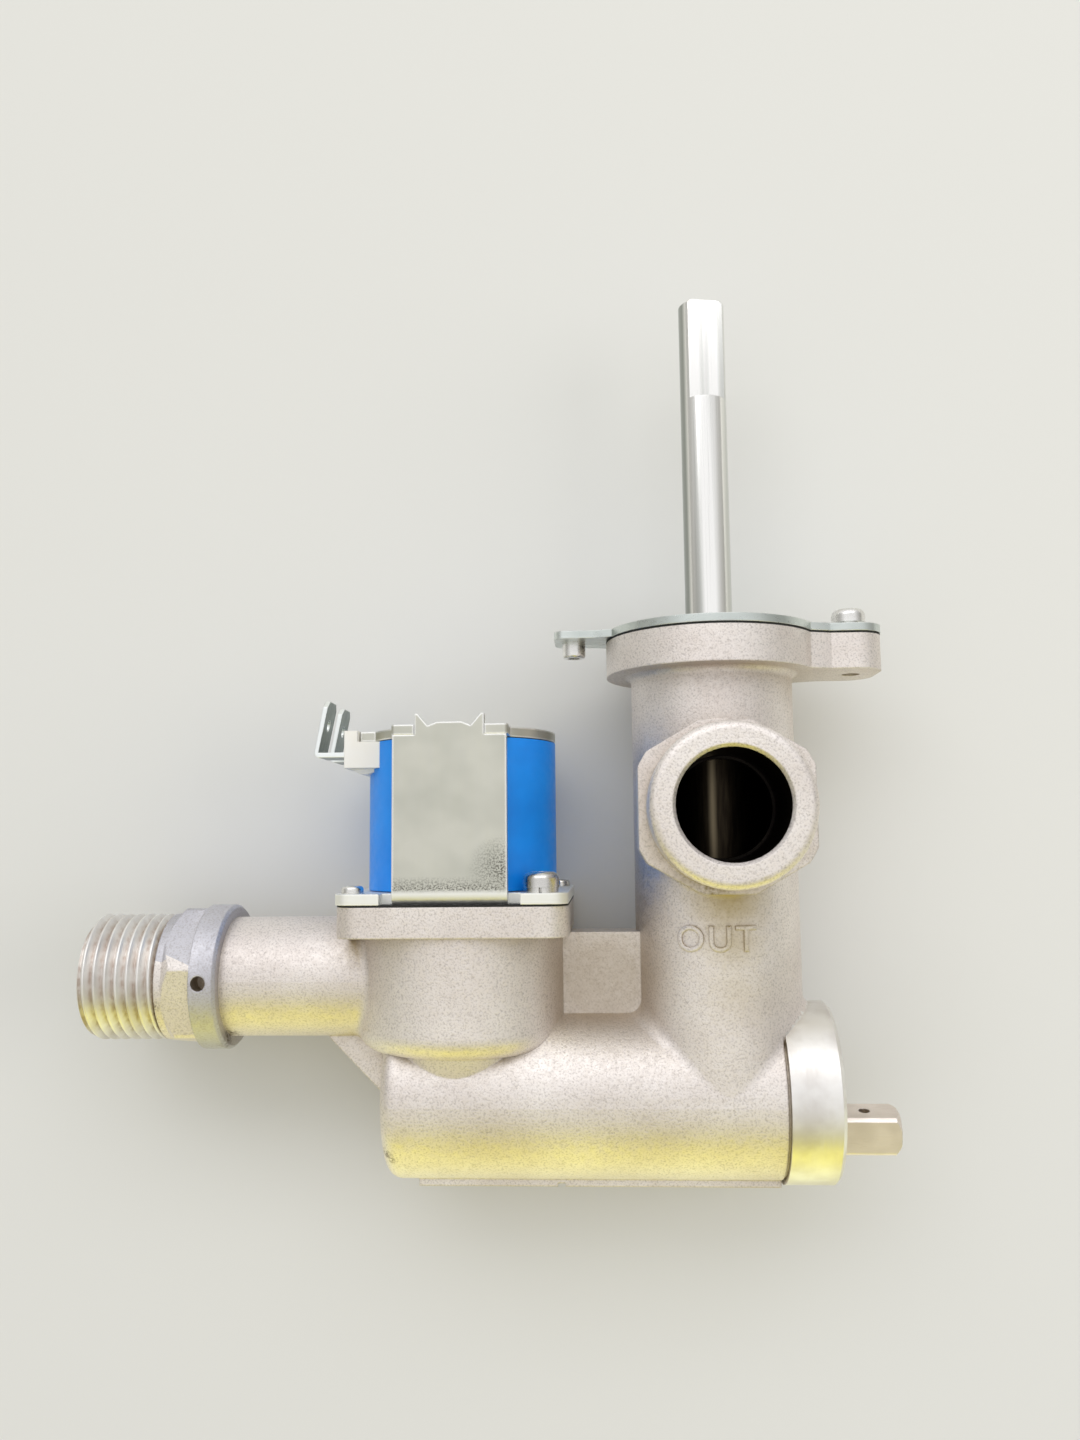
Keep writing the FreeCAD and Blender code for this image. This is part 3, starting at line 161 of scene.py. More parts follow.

# %% [markdown]
# ## Patterns that several finishes share
# A crater, a scratch or a stain has a real size, so the patterns are asked for in millimetres.
# Noise that is stretched along an axis looks like rolling or drawing marks. Edges that get a
# painted highlight are found by rounding the surface a little and seeing where that turns it.

# %% Grain, stains, edge highlights and relief
def grains(tree, place, size_mm, detail=2.0, stretch=(1.0, 1.0, 1.0), roughness=0.5):
    """Noise whose blotches are about size_mm across, longer along the axes with a small stretch."""
    sockets = {
        "Vector": add_node(
            tree, "ShaderNodeVectorMath", {0: place, 1: stretch}, operation="MULTIPLY"
        ),
        "Scale": 1.0 / (size_mm * MM),
        "Detail": detail,
        "Roughness": roughness,
    }
    return add_node(tree, "ShaderNodeTexNoise", sockets)


def stains(tree, place, spots):
    """Full strength at each spot's centre, none from its radius on.

    A spot is its x, y, z and radius in millimetres, and its strength."""
    strongest = None
    for x, y, z, radius, strength in spots:
        centre = (x * MM, y * MM, z * MM)
        away = add_node(
            tree, "ShaderNodeVectorMath", {0: place, 1: centre}, operation="DISTANCE"
        )
        sockets = {"Value": away, "From Min": radius * MM, "From Max": 0.0, "To Max": strength}
        stain = add_node(tree, "ShaderNodeMapRange", sockets)
        if strongest is not None:
            stain = add_node(
                tree, "ShaderNodeMath", {0: strongest, 1: stain}, operation="MAXIMUM"
            )
        strongest = stain
    return strongest


def edge_highlight(tree, radius_mm):
    """1 on an edge, where a painted highlight goes, 0 farther than radius_mm from any edge."""
    sockets = {
        0: add_node(tree, "ShaderNodeNewGeometry").outputs["Normal"],
        1: add_node(tree, "ShaderNodeBevel", {"Radius": radius_mm * MM}, samples=8),
    }
    agree = add_node(tree, "ShaderNodeVectorMath", sockets, operation="DOT_PRODUCT")
    sockets = {"Value": agree, "From Min": 0.995, "From Max": 0.93}
    return add_node(tree, "ShaderNodeMapRange", sockets)


def raise_surface(tree, shader, height, depth_mm, edge_mm):
    """Bumps a surface by depth_mm where height is 1, over edges rounded by edge_mm."""
    sockets = {
        "Height": height,
        "Distance": depth_mm * MM,
        "Strength": 1.0,
        "Normal": add_node(tree, "ShaderNodeBevel", {"Radius": edge_mm * MM}, samples=4),
    }
    plug(tree, add_node(tree, "ShaderNodeBump", sockets), shader, "Normal")


print("a grain of 0.32 mm needs a noise scale of", round(1.0 / (0.32 * MM)))

# %% [markdown]
# ## Bead blasted casting
# The body is an aluminium die casting that was blasted with glass beads. Real blasted aluminium is
# pale grey and half matt: beads of 0.2 to 0.3 mm leave craters that scatter each reflection, so
# lamps show on it as broad soft bands. Noise of that size makes the craters, and the deepest ones
# are darker. Slower noise gives the clouds that a cold mould leaves.

# %% The clean skin
def blasted_skin(tree, place, crater, clean, cloud):
    """Pale metal with soft clouds and small dark pits."""
    clouds = grains(tree, place, 14.0, detail=3.0)
    sockets = {"Value": clouds, "From Min": 0.35, "From Max": 0.68}
    clouded = add_node(tree, "ShaderNodeMapRange", sockets)
    sockets = {SHARE: clouded, UNDER: linear(clean), OVER: linear(cloud)}
    skin = add_node(tree, "ShaderNodeMix", sockets, data_type="RGBA")
    sockets = {"Value": crater, "From Min": 0.52, "From Max": 0.3, "To Max": 0.5}
    pits = add_node(tree, "ShaderNodeMapRange", sockets)
    sockets = {SHARE: pits, UNDER: skin, OVER: linear("#A39B97")}
    return add_node(tree, "ShaderNodeMix", sockets, data_type="RGBA")


print("craters across a centimetre:", round(10 / 0.32))

# %% [markdown]
# ### Painted shade in the hollows
# The hollows and inside corners are darkened with a brown painted shade. Ambient occlusion
# measures how shut in a point is: over 16 mm it finds the hollows, and over 2.5 mm the sharp inside
# corners, where the shade is broken into patches. The hollow beside the valve bowl is the darkest,
# so it is named by place.

# %% Painted shade in hollows and corners
def painted_hollow_shade(tree, place, speck, skin):
    """Brown painted shade where the casting is shut in."""
    # Painted shade: the hollows, and the hollow beside the bowl, are mixed towards brown.
    recess = add_node(tree, "ShaderNodeAmbientOcclusion", {"Distance": 16.0 * MM}, samples=4)
    sockets = {"Value": recess.outputs["AO"], "From Min": 0.75, "From Max": 0.3, "To Max": 0.7}
    deep_shade = add_node(tree, "ShaderNodeMapRange", sockets)
    shade_beside_bowl = stains(tree, place, [(86.0, -1.0, 4.0, 14.0, 1.0)])
    shade_beside_bowl = add_node(
        tree, "ShaderNodeMath", {0: shade_beside_bowl, 1: 0.6}, operation="MINIMUM"
    )
    hollow_shade = add_node(tree, "ShaderNodeMath", {0: deep_shade, 1: shade_beside_bowl}, operation="MAXIMUM")
    sockets = {SHARE: hollow_shade, UNDER: skin, OVER: linear("#AD9D84")}
    skin = add_node(tree, "ShaderNodeMix", sockets, data_type="RGBA")

    # Painted shade in the sharp inside corners, broken into patches.
    corner = add_node(tree, "ShaderNodeAmbientOcclusion", {"Distance": 2.5 * MM}, samples=4)
    sockets = {"Value": corner.outputs["AO"], "From Min": 0.5, "From Max": 0.12}
    shut_in = add_node(tree, "ShaderNodeMapRange", sockets)
    sockets = {"Value": speck, "From Min": 0.3, "From Max": 0.65, "To Min": 0.2, "To Max": 0.7}
    patchy = add_node(tree, "ShaderNodeMapRange", sockets)
    corner_shade = add_node(tree, "ShaderNodeMath", {0: shut_in, 1: patchy}, operation="MULTIPLY")
    sockets = {SHARE: corner_shade, UNDER: skin, OVER: linear("#8A8070")}
    return add_node(tree, "ShaderNodeMix", sockets, data_type="RGBA")


print("grime in linear light:", [round(value, 3) for value in linear("#8A8070")])

# %% [markdown]
# ### Old stains, and a painted reflection
# The valve has been in use. Dark specks sit at the end of the barrel, behind the collar and at the
# end of the thread, and a brown crust has settled under the outlet's hexagon. Below it a brown
# painted reflection runs down the barrel and grows paler on its way. Each stain is a list of round
# spots, and fine crumbs break up all but the painted reflection.

# %% Specks, and the painted reflection below the outlet
# Each spot: x, y, z and radius in millimetres, and its strength.
DARK_SPECKS = [
    (51.6, -26.5, 10.8, 1.3, 1.0),
    (52.2, -27.4, 10.5, 1.0, 1.0),
    (23.8, -9.4, 4.2, 2.6, 1.0),
    (13.4, -3.9, 10.0, 1.0, 1.0),
]
OUTLET_CRUST = [(99.5, 16.3, 23.0, 3.6, 1.0), (102.5, 14.5, 21.0, 3.4, 1.0)]
OUTLET_PAINTED_REFLECTION = [
    (106.2, 13.5, 14.5, 8.5, 0.9),
    (106.6, 6.0, 14.0, 6.5, 0.54),
    (106.9, -1.0, 14.0, 7.0, 0.315),
]


def stains_and_painted_reflection(tree, place, skin):
    """The skin with its specks, its crust and a painted brown reflection below the outlet."""
    crumbs = grains(tree, place, 0.7, detail=4.0, roughness=0.7)
    for spots, first, full, colour in (
        (DARK_SPECKS, 0.44, 0.56, "#4A3420"), (OUTLET_CRUST, 0.35, 0.65, "#8C7A45"),
    ):
        sockets = {"Value": crumbs, "From Min": first, "From Max": full}
        broken = add_node(tree, "ShaderNodeMapRange", sockets)
        sockets = {0: stains(tree, place, spots), 1: broken}
        stain = add_node(tree, "ShaderNodeMath", sockets, operation="MULTIPLY")
        sockets = {SHARE: stain, UNDER: skin, OVER: linear(colour)}
        skin = add_node(tree, "ShaderNodeMix", sockets, data_type="RGBA")
    # A painted brown reflection down the barrel below the outlet, paler further down.
    sockets = {SHARE: stains(tree, place, OUTLET_PAINTED_REFLECTION), UNDER: skin, OVER: linear("#B8A672")}
    return add_node(tree, "ShaderNodeMix", sockets, data_type="RGBA")


print("stained spots:", len(DARK_SPECKS + OUTLET_CRUST + OUTLET_PAINTED_REFLECTION))

# %% [markdown]
# ### The casting's finish, and its painted shade
# Nearly all of the casting has the blasted finish, a pale warm grey. The collar and the upper
# spanner flats get a cooler and darker grey copy of it, a painted shade. Both come from one recipe,
# with different colours. The roughness of 0.48 to 0.62 keeps the lamps soft.

# %% Blasted, and blasted in painted shade
def blasted_casting(name, clean, cloud):
    """Blasted aluminium, with painted shade in its hollows, its stains and a painted reflection."""
    tree, shader, place = start_finish(name, 1.0, 0.55)
    crater = grains(tree, place, 0.32, detail=3.0, roughness=0.6)
    speck = grains(tree, place, 0.9)
    skin = blasted_skin(tree, place, crater, clean, cloud)
    skin = painted_hollow_shade(tree, place, speck, skin)
    plug(tree, stains_and_painted_reflection(tree, place, skin), shader, "Base Color")
    sockets = {"Value": speck, "From Min": 0.3, "From Max": 0.7, "To Min": 0.48, "To Max": 0.62}
    plug(tree, add_node(tree, "ShaderNodeMapRange", sockets), shader, "Roughness")
    raise_surface(tree, shader, crater, 0.06, 0.35)


blasted_casting("bead_blasted_aluminium", "#F6F0EC", "#E8E0DB")
blasted_casting("blasted_aluminium_in_painted_shade", "#D9D8DE", "#C4C3CA")
print("finishes so far:", list(finishes))

# %% [markdown]
# ## Turned aluminium
# The thread, the bore of the inlet and the ring at the end of the lower barrel were cut after the
# casting was blasted. A lathe leaves fine rings round its axis, about 0.1 mm apart. They are drawn
# 0.25 mm apart, because finer rings would vanish in the picture. The cut surface is brighter and
# smoother than the blasted one. Painted shade fills the bottom of the thread, and is browner
# towards the underside.

# %% The cut faces' finish
tree, shader, place = start_finish("turned_aluminium", 1.0, 0.34)
rings = grains(tree, place, 0.25, stretch=(1.0, 0.08, 0.08))
clouds = grains(tree, place, 5.0, detail=3.0)
sockets = {"Value": clouds, "From Min": 0.4, "From Max": 0.65}
clouded = add_node(tree, "ShaderNodeMapRange", sockets)
sockets = {SHARE: clouded, UNDER: linear("#F4F2EF"), OVER: linear("#E2DEDA")}
bright = add_node(tree, "ShaderNodeMix", sockets, data_type="RGBA")

# Painted shade in the bottom of the thread, browner towards the underside.
corner = add_node(tree, "ShaderNodeAmbientOcclusion", {"Distance": 1.2 * MM}, samples=4)
sockets = {"Value": corner.outputs["AO"], "From Min": 0.85, "From Max": 0.4}
root_shade_mask = add_node(tree, "ShaderNodeMapRange", sockets)
crumbs = grains(tree, place, 1.1, detail=4.0)
sockets = {"Value": crumbs, "From Min": 0.4, "From Max": 0.62, "To Min": 0.4, "To Max": 1.0}
crumbly = add_node(tree, "ShaderNodeMapRange", sockets)
root_shade = add_node(tree, "ShaderNodeMath", {0: root_shade_mask, 1: crumbly}, operation="MULTIPLY")

height = add_node(tree, "ShaderNodeSeparateXYZ", {"Vector": place}).outputs["Y"]
sockets = {"Value": height, "From Min": -3.0 * MM, "From Max": -8.5 * MM}
under = add_node(tree, "ShaderNodeMapRange", sockets)
sockets = {SHARE: under, UNDER: linear("#BDAA9C"), OVER: linear("#8F7430")}
root_shade_colour = add_node(tree, "ShaderNodeMix", sockets, data_type="RGBA")
root_shaded = add_node(
    tree, "ShaderNodeMix", {SHARE: root_shade, UNDER: bright, OVER: root_shade_colour}, data_type="RGBA"
)
plug(tree, root_shaded, shader, "Base Color")

sockets = {"Value": rings, "From Min": 0.3, "From Max": 0.7, "To Min": 0.38, "To Max": 0.5}
plug(tree, add_node(tree, "ShaderNodeMapRange", sockets), shader, "Roughness")
raise_surface(tree, shader, rings, 0.006, 0.12)
print("nodes in the turned finish:", len(tree.nodes))

# %% [markdown]
# ## Rolled, drawn and plated metals
# Most other pieces are metal with a direction: sheet is rolled, bar is drawn or ground along its
# length, screws are plated. They share one recipe with different sizes. Long noise gives the
# streaks, slow noise the clouding of the plating, and the edges get a painted bright line.

# %% A recipe for streaked metal
def streaked_metal(name, clean, dull, roughness, streak_mm, stretch,
                   depth_mm=0.008, edge_mm=0.2, highlight_share=0.5):
    """Metal with streaks along one way, clouds, and a painted highlight on its rims."""
    tree, shader, place = start_finish(name, 1.0, roughness)
    streaks = grains(tree, place, streak_mm, detail=3.0, stretch=stretch)
    clouds = grains(tree, place, 7.0)
    sockets = {"Value": clouds, "From Min": 0.35, "From Max": 0.65}
    clouded = add_node(tree, "ShaderNodeMapRange", sockets)
    sockets = {SHARE: clouded, UNDER: linear(clean), OVER: linear(dull)}
    tone = add_node(tree, "ShaderNodeMix", sockets, data_type="RGBA")
    sockets = {"Value": streaks, "From Min": 0.55, "From Max": 0.75, "To Max": 0.35}
    streaked = add_node(tree, "ShaderNodeMapRange", sockets)
    sockets = {SHARE: streaked, UNDER: tone, OVER: linear(dull)}
    tone = add_node(tree, "ShaderNodeMix", sockets, data_type="RGBA")
    # Painted highlight: the edges are mixed towards near white.
    sockets = {0: edge_highlight(tree, edge_mm), 1: highlight_share}
    rim_highlight = add_node(tree, "ShaderNodeMath", sockets, operation="MULTIPLY")
    sockets = {SHARE: rim_highlight, UNDER: tone, OVER: linear("#FBFBF8")}
    plug(tree, add_node(tree, "ShaderNodeMix", sockets, data_type="RGBA"), shader, "Base Color")
    sockets = {"Value": streaks, "From Min": 0.3, "From Max": 0.7}
    sockets.update({"To Min": roughness - 0.06, "To Max": roughness + 0.08})
    plug(tree, add_node(tree, "ShaderNodeMapRange", sockets), shader, "Roughness")
    raise_surface(tree, shader, streaks, depth_mm, edge_mm)


# Cold rolled cover plate: a cool grey, with faint streaks along the sheet.
streaked_metal("rolled_cover_steel", "#DDE3DF", "#C6CDC9", 0.3, 0.5, (0.15, 1.0, 1.0))
# Milled square end: warm and bright, with softer reflections than a turned face.
streaked_metal("milled_steel", "#F8EEE6", "#DDD2C8", 0.38, 0.4, (0.2, 1.0, 1.0))
# Bright zinc on the screws: small sharp lights and shining edges.
streaked_metal(
    "zinc_plated_screw", "#F6F5F2", "#D6D4D0", 0.24, 0.6, (1.0, 1.0, 1.0), edge_mm=0.12
)
# Drawn wire: a darker metal with faint streaks.
streaked_metal(
    "drawn_spring_wire", "#B4B2AE", "#8C8A86", 0.3, 0.3, (1.0, 0.3, 1.0), edge_mm=0.05
)
# Ground iron core: a plain grey shine, streaked along its length.
streaked_metal("core_steel", "#C8C6C2", "#A4A29E", 0.3, 0.4, (1.0, 0.1, 1.0))
# Turned brass: yellow metal, ringed round its length.
streaked_metal("turned_brass", "#D8B66A", "#A9853F", 0.28, 0.4, (0.3, 1.0, 0.3))
# Enamelled winding wire: red brown, with the turns of the wire as fine ribs.
streaked_metal(
    "enamelled_copper", "#C4703C", "#8F4A22", 0.3, 0.3, (0.05, 1.0, 0.05), depth_mm=0.03
)
# Walls of the bores: painted nearly black, as shade for their depth.
streaked_metal(
    "bore_in_painted_shade", "#2A2622", "#161412", 0.4, 0.5, (1.0, 1.0, 0.3), depth_mm=0.01, highlight_share=0.0
)
print("finishes so far:", len(finishes))

# %% [markdown]
# ## Polished bar
# The regulating shaft is ground and polished along its length, so its shine breaks into long bands,
# some nearly white and some pale grey, that run from the plate to the tip. Noise drawn out a
# hundred times along the shaft gives them. One side carries a painted dark green reflection.

# %% The shaft's finish
tree, shader, place = start_finish("polished_bar", 1.0, 0.16)
bands = grains(tree, place, 2.4, detail=1.0, stretch=(1.0, 0.01, 1.0))
sockets = {"Value": bands, "From Min": 0.5, "From Max": 0.64}
banded = add_node(tree, "ShaderNodeMapRange", sockets)
sockets = {SHARE: banded, UNDER: linear("#FCFBF8"), OVER: linear("#CDCEC9")}
tone = add_node(tree, "ShaderNodeMix", sockets, data_type="RGBA")

lines = grains(tree, place, 0.3, stretch=(1.0, 0.01, 1.0))
sockets = {"Value": lines, "From Min": 0.55, "From Max": 0.75, "To Max": 0.3}
lined = add_node(tree, "ShaderNodeMapRange", sockets)
sockets = {SHARE: lined, UNDER: tone, OVER: linear("#B4B6B0")}
tone = add_node(tree, "ShaderNodeMix", sockets, data_type="RGBA")

side = add_node(tree, "ShaderNodeSeparateXYZ", {"Vector": place}).outputs["X"]
# Painted dark green reflection on the side towards smaller x.
sockets = {"Value": side, "From Min": 102.3 * MM, "From Max": 101.7 * MM, "To Max": 0.75}
painted_dark_reflection = add_node(tree, "ShaderNodeMapRange", sockets)
sockets = {SHARE: painted_dark_reflection, UNDER: tone, OVER: linear("#5E675E")}
plug(tree, add_node(tree, "ShaderNodeMix", sockets, data_type="RGBA"), shader, "Base Color")

sockets = {"Value": lines, "From Min": 0.3, "From Max": 0.7, "To Min": 0.13, "To Max": 0.2}
plug(tree, add_node(tree, "ShaderNodeMapRange", sockets), shader, "Roughness")
raise_surface(tree, shader, lines, 0.002, 0.2)
print("nodes in the shaft's finish:", len(tree.nodes))

# %% [markdown]
# ## Zinc plated yoke
# The yoke is folded from steel sheet with a thin satin zinc coat. Such a coat is a soft grey green
# and smooth. Dark specks show where damp has started on it: a patch low down beside the screw, and
# a row just above the bend. The bend itself is paler and more matt.

# %% The yoke's coat and its specks
tree, shader, place = start_finish("zinc_plated_sheet", 1.0, 0.36)
clouds = grains(tree, place, 8.0)
sockets = {"Value": clouds, "From Min": 0.35, "From Max": 0.68}
clouded = add_node(tree, "ShaderNodeMapRange", sockets)
sockets = {SHARE: clouded, UNDER: linear("#D2D1C5"), OVER: linear("#C2C2B6")}
coat = add_node(tree, "ShaderNodeMix", sockets, data_type="RGBA")

LOW_RIGHT = [(70.9, 17.9, 18.3, 5.6, 1.0), (72.6, 17.2, 18.3, 2.6, 1.0)]
height = add_node(tree, "ShaderNodeSeparateXYZ", {"Vector": place}).outputs["Y"]
sockets = {"Value": height, "From Min": 14.3 * MM, "From Max": 14.9 * MM}
over_bend = add_node(tree, "ShaderNodeMapRange", sockets)
sockets = {"Value": height, "From Min": 17.0 * MM, "From Max": 15.2 * MM, "To Max": 0.8}
near_bend = add_node(tree, "ShaderNodeMapRange", sockets)
row = add_node(tree, "ShaderNodeMath", {0: over_bend, 1: near_bend}, operation="MULTIPLY")
sockets = {0: stains(tree, place, LOW_RIGHT), 1: row}
damp = add_node(tree, "ShaderNodeMath", sockets, operation="MAXIMUM")
dots = grains(tree, place, 0.3, detail=3.0, roughness=0.75)
sockets = {"Value": dots, "From Min": 0.46, "From Max": 0.58}
speckled = add_node(tree, "ShaderNodeMapRange", sockets)
marks = add_node(tree, "ShaderNodeMath", {0: speckled, 1: damp}, operation="MULTIPLY")
sockets = {SHARE: marks, UNDER: coat, OVER: linear("#46423B")}
coat = add_node(tree, "ShaderNodeMix", sockets, data_type="RGBA")
print("nodes in the yoke's coat:", len(tree.nodes))

# %% [markdown]
# ### The bend and the sheared rims
# The bend is found by its height, and the sheared rims, which get a painted highlight, by their
# edges.

# %% The yoke's bend and rims
sockets = {"Value": height, "From Min": 14.9 * MM, "From Max": 14.2 * MM}
bend = add_node(tree, "ShaderNodeMapRange", sockets)
sockets = {SHARE: bend, UNDER: coat, OVER: linear("#F6F6F2")}
coat = add_node(tree, "ShaderNodeMix", sockets, data_type="RGBA")
# Painted highlight on the sheared rims.
sockets = {SHARE: edge_highlight(tree, 0.6), UNDER: coat, OVER: linear("#FFFFFC")}
plug(tree, add_node(tree, "ShaderNodeMix", sockets, data_type="RGBA"), shader, "Base Color")

streaks = grains(tree, place, 0.8, stretch=(1.0, 0.1, 1.0))
sockets = {"Value": streaks, "From Min": 0.3, "From Max": 0.7, "To Min": 0.3, "To Max": 0.42}
satin = add_node(tree, "ShaderNodeMapRange", sockets)
matt_bend = add_node(tree, "ShaderNodeMath", {0: bend, 1: 0.25}, operation="MULTIPLY")
satin = add_node(tree, "ShaderNodeMath", {0: satin, 1: matt_bend}, operation="ADD")
plug(tree, satin, shader, "Roughness")
raise_surface(tree, shader, streaks, 0.006, 0.3)
print("nodes in the yoke's finish:", len(tree.nodes))

# %% [markdown]
# ## Tinned blades
# The two blades are punched from tinned brass strip. Their broad faces are painted a dark grey, a
# painted reflection, and the punched edges nearly white, a painted highlight. The direction that
# a face looks in, in the part's own axes, tells the edges from the broad faces.

# %% The blades' finish
tree, shader, place = start_finish("tinned_blade", 1.0, 0.28)
streaks = grains(tree, place, 0.5, detail=3.0, stretch=(1.0, 0.2, 1.0))
sockets = {"Value": streaks, "From Min": 0.4, "From Max": 0.65}
streaked = add_node(tree, "ShaderNodeMapRange", sockets)
# Painted dark reflection on the broad faces.
sockets = {SHARE: streaked, UNDER: linear("#7F8B85"), OVER: linear("#66736C")}
dark_reflection = add_node(tree, "ShaderNodeMix", sockets, data_type="RGBA")

# Painted highlight on the punched edges, found by the way they face and by rounding.
facing = add_node(tree, "ShaderNodeTexCoord").outputs["Normal"]
forward = add_node(tree, "ShaderNodeSeparateXYZ", {"Vector": facing}).outputs["Z"]
forward = add_node(tree, "ShaderNodeMath", {0: forward}, operation="ABSOLUTE")
sockets = {"Value": forward, "From Min": 0.4, "From Max": 0.7}
sideways_highlight = add_node(tree, "ShaderNodeMapRange", sockets)
sockets = {0: sideways_highlight, 1: edge_highlight(tree, 0.25)}
edge = add_node(tree, "ShaderNodeMath", sockets, operation="MAXIMUM")
sockets = {SHARE: edge, UNDER: dark_reflection, OVER: linear("#F8FCFA")}
plug(tree, add_node(tree, "ShaderNodeMix", sockets, data_type="RGBA"), shader, "Base Color")
raise_surface(tree, shader, streaks, 0.004, 0.2)
print("nodes in the blades' finish:", len(tree.nodes))

# %% [markdown]
# ## Plastics and rubbers
# The coil is wrapped in a satin blue sleeve, its spool is moulded in white nylon, and the gaskets
# are black fibre sheet. Plastics aren't metal: their colour is in the body of the material and a
# clear reflection lies over it, weaker and broader the rougher the surface is.

# %% Finishes that aren't metal
def moulded(name, clean, dull, roughness, grain_mm, depth_mm, edge_mm=0.25):
    """A plastic or rubber with faint clouds and a fine grain."""
    tree, shader, place = start_finish(name, 0.0, roughness)
    shader.inputs["IOR"].default_value = 1.5
    clouds = grains(tree, place, 6.0)
    sockets = {"Value": clouds, "From Min": 0.35, "From Max": 0.65}
    clouded = add_node(tree, "ShaderNodeMapRange", sockets)
    sockets = {SHARE: clouded, UNDER: linear(clean), OVER: linear(dull)}
    plug(tree, add_node(tree, "ShaderNodeMix", sockets, data_type="RGBA"), shader, "Base Color")
    grain = grains(tree, place, grain_mm)
    sockets = {"Value": grain, "From Min": 0.3, "From Max": 0.7}
    sockets.update({"To Min": roughness - 0.05, "To Max": roughness + 0.08})
    plug(tree, add_node(tree, "ShaderNodeMapRange", sockets), shader, "Roughness")
    raise_surface(tree, shader, grain, depth_mm, edge_mm)


# Blue polyester sleeve: a strong even blue, with one soft light down its side.
moulded("blue_coil_sleeve", "#0094FF", "#008CF6", 0.4, 1.2, 0.004)
# Moulded nylon: nearly white and faintly warm, with a waxy shine.
moulded("white_nylon", "#FFFEFA", "#FBF8F0", 0.45, 0.4, 0.01)
# Pressed fibre: black and matt, so that a gasket shows as a thin dark line.
moulded("black_gasket", "#141414", "#1E1E1C", 0.7, 0.3, 0.02, edge_mm=0.05)
# Nitrile rubber: black, a little smoother than the fibre.
moulded("nitrile_rubber", "#101011", "#191919", 0.55, 0.3, 0.01)
print("finishes so far:", len(finishes))

# %% [markdown]
# ## The dark rotor inside the outlet
# Looking into the outlet, the bore is painted nearly black, as shade for its depth, and the bronze
# rotor behind it is closed and painted nearly as dark, the same painted shade. One upright line on
# the rotor is a painted highlight, drawn by its distance from that line.

# %% The rotor's finish
HIGHLIGHT_LINE_X = 103.9 * MM
tree, shader, place = start_finish("bronze_in_painted_shade", 1.0, 0.3)
streaks = grains(tree, place, 0.5, detail=3.0, stretch=(1.0, 0.1, 1.0))
sockets = {"Value": streaks, "From Min": 0.35, "From Max": 0.65}
streaked = add_node(tree, "ShaderNodeMapRange", sockets)
# Painted shade: the rotor is coloured nearly black.
sockets = {SHARE: streaked, UNDER: linear("#2E281F"), OVER: linear("#1E1914")}
tone = add_node(tree, "ShaderNodeMix", sockets, data_type="RGBA")

side = add_node(tree, "ShaderNodeSeparateXYZ", {"Vector": place}).outputs["X"]
offset = add_node(tree, "ShaderNodeMath", {0: side, 1: -HIGHLIGHT_LINE_X}, operation="ADD")
offset = add_node(tree, "ShaderNodeMath", {0: offset}, operation="ABSOLUTE")
# Painted highlight: one upright pale line on the rotor's front.
sockets = {"Value": offset, "From Min": 0.8 * MM, "From Max": 0.1 * MM, "To Max": 0.28}
painted_highlight = add_node(tree, "ShaderNodeMapRange", sockets)
sockets = {SHARE: painted_highlight, UNDER: tone, OVER: linear("#B9A98A")}
plug(tree, add_node(tree, "ShaderNodeMix", sockets, data_type="RGBA"), shader, "Base Color")
raise_surface(tree, shader, streaks, 0.002, 0.2)
print("finishes:", len(finishes))

# %% [markdown]
# ## Give each solid its finish
# A solid keeps its shape and only its material slots change. The table reads like a parts list.

# %% Dress the solids
WORN_BY = {
    "rolled_cover_steel": ["cover_plate"],
    "polished_bar": ["regulating_shaft", "rotor_pin"],
    "milled_steel": ["takeoff_shaft"],
    "zinc_plated_screw": [
        "cover_screws", "yoke_screws", "spring_washers", "locating_pins", "ear_nut",
    ],
    "tinned_blade": ["terminal_blade_front", "terminal_blade_rear"],
    "drawn_spring_wire": ["rotor_spring", "plunger_spring", "end_plug_clip"],
    "core_steel": ["core_tube", "fixed_core", "plunger"],
    "turned_brass": ["shaft_gland", "drive_gear", "takeoff_gear"],
    "enamelled_copper": ["coil_winding"],
    "zinc_plated_sheet": ["yoke_frame", "yoke_top_plate"],
    "blue_coil_sleeve": ["coil_jacket"],
    "white_nylon": ["coil_bobbin"],
    "black_gasket": ["cover_gasket", "bonnet_gasket"],
    "nitrile_rubber": [
        "regulating_shaft_seal", "takeoff_shaft_seal", "end_plug_seal", "core_tube_seal",
        "valve_disc",
    ],
    "bronze_in_painted_shade": ["regulating_rotor"],
    "turned_aluminium": ["barrel_end_plug"],
    "bead_blasted_aluminium": ["valve_body"],
}


def dress(piece, finish):
    """One finish on the whole of a piece."""
    piece.data.materials.clear()
    piece.data.materials.append(finishes[finish])


for finish, wearers in WORN_BY.items():
    for wearer in wearers:
        dress(nodes[wearer], finish)
bare = sorted(set(nodes) - {wearer for wearers in WORN_BY.values() for wearer in wearers})
print("solids without a finish:", bare)

# %% [markdown]
# ## The casting, ready for its thread
# The solid carries the inlet as a plain spigot. To cut the thread into it, the casting is copied
# and its loose triangles are merged. A plane then cuts the spigot off just before the spanner
# flats. Bridging the outer and the inner rim closes the cut. The copy then stands for the solid.

# %% Copy a solid
MERGE_GAP = 0.002 * MM


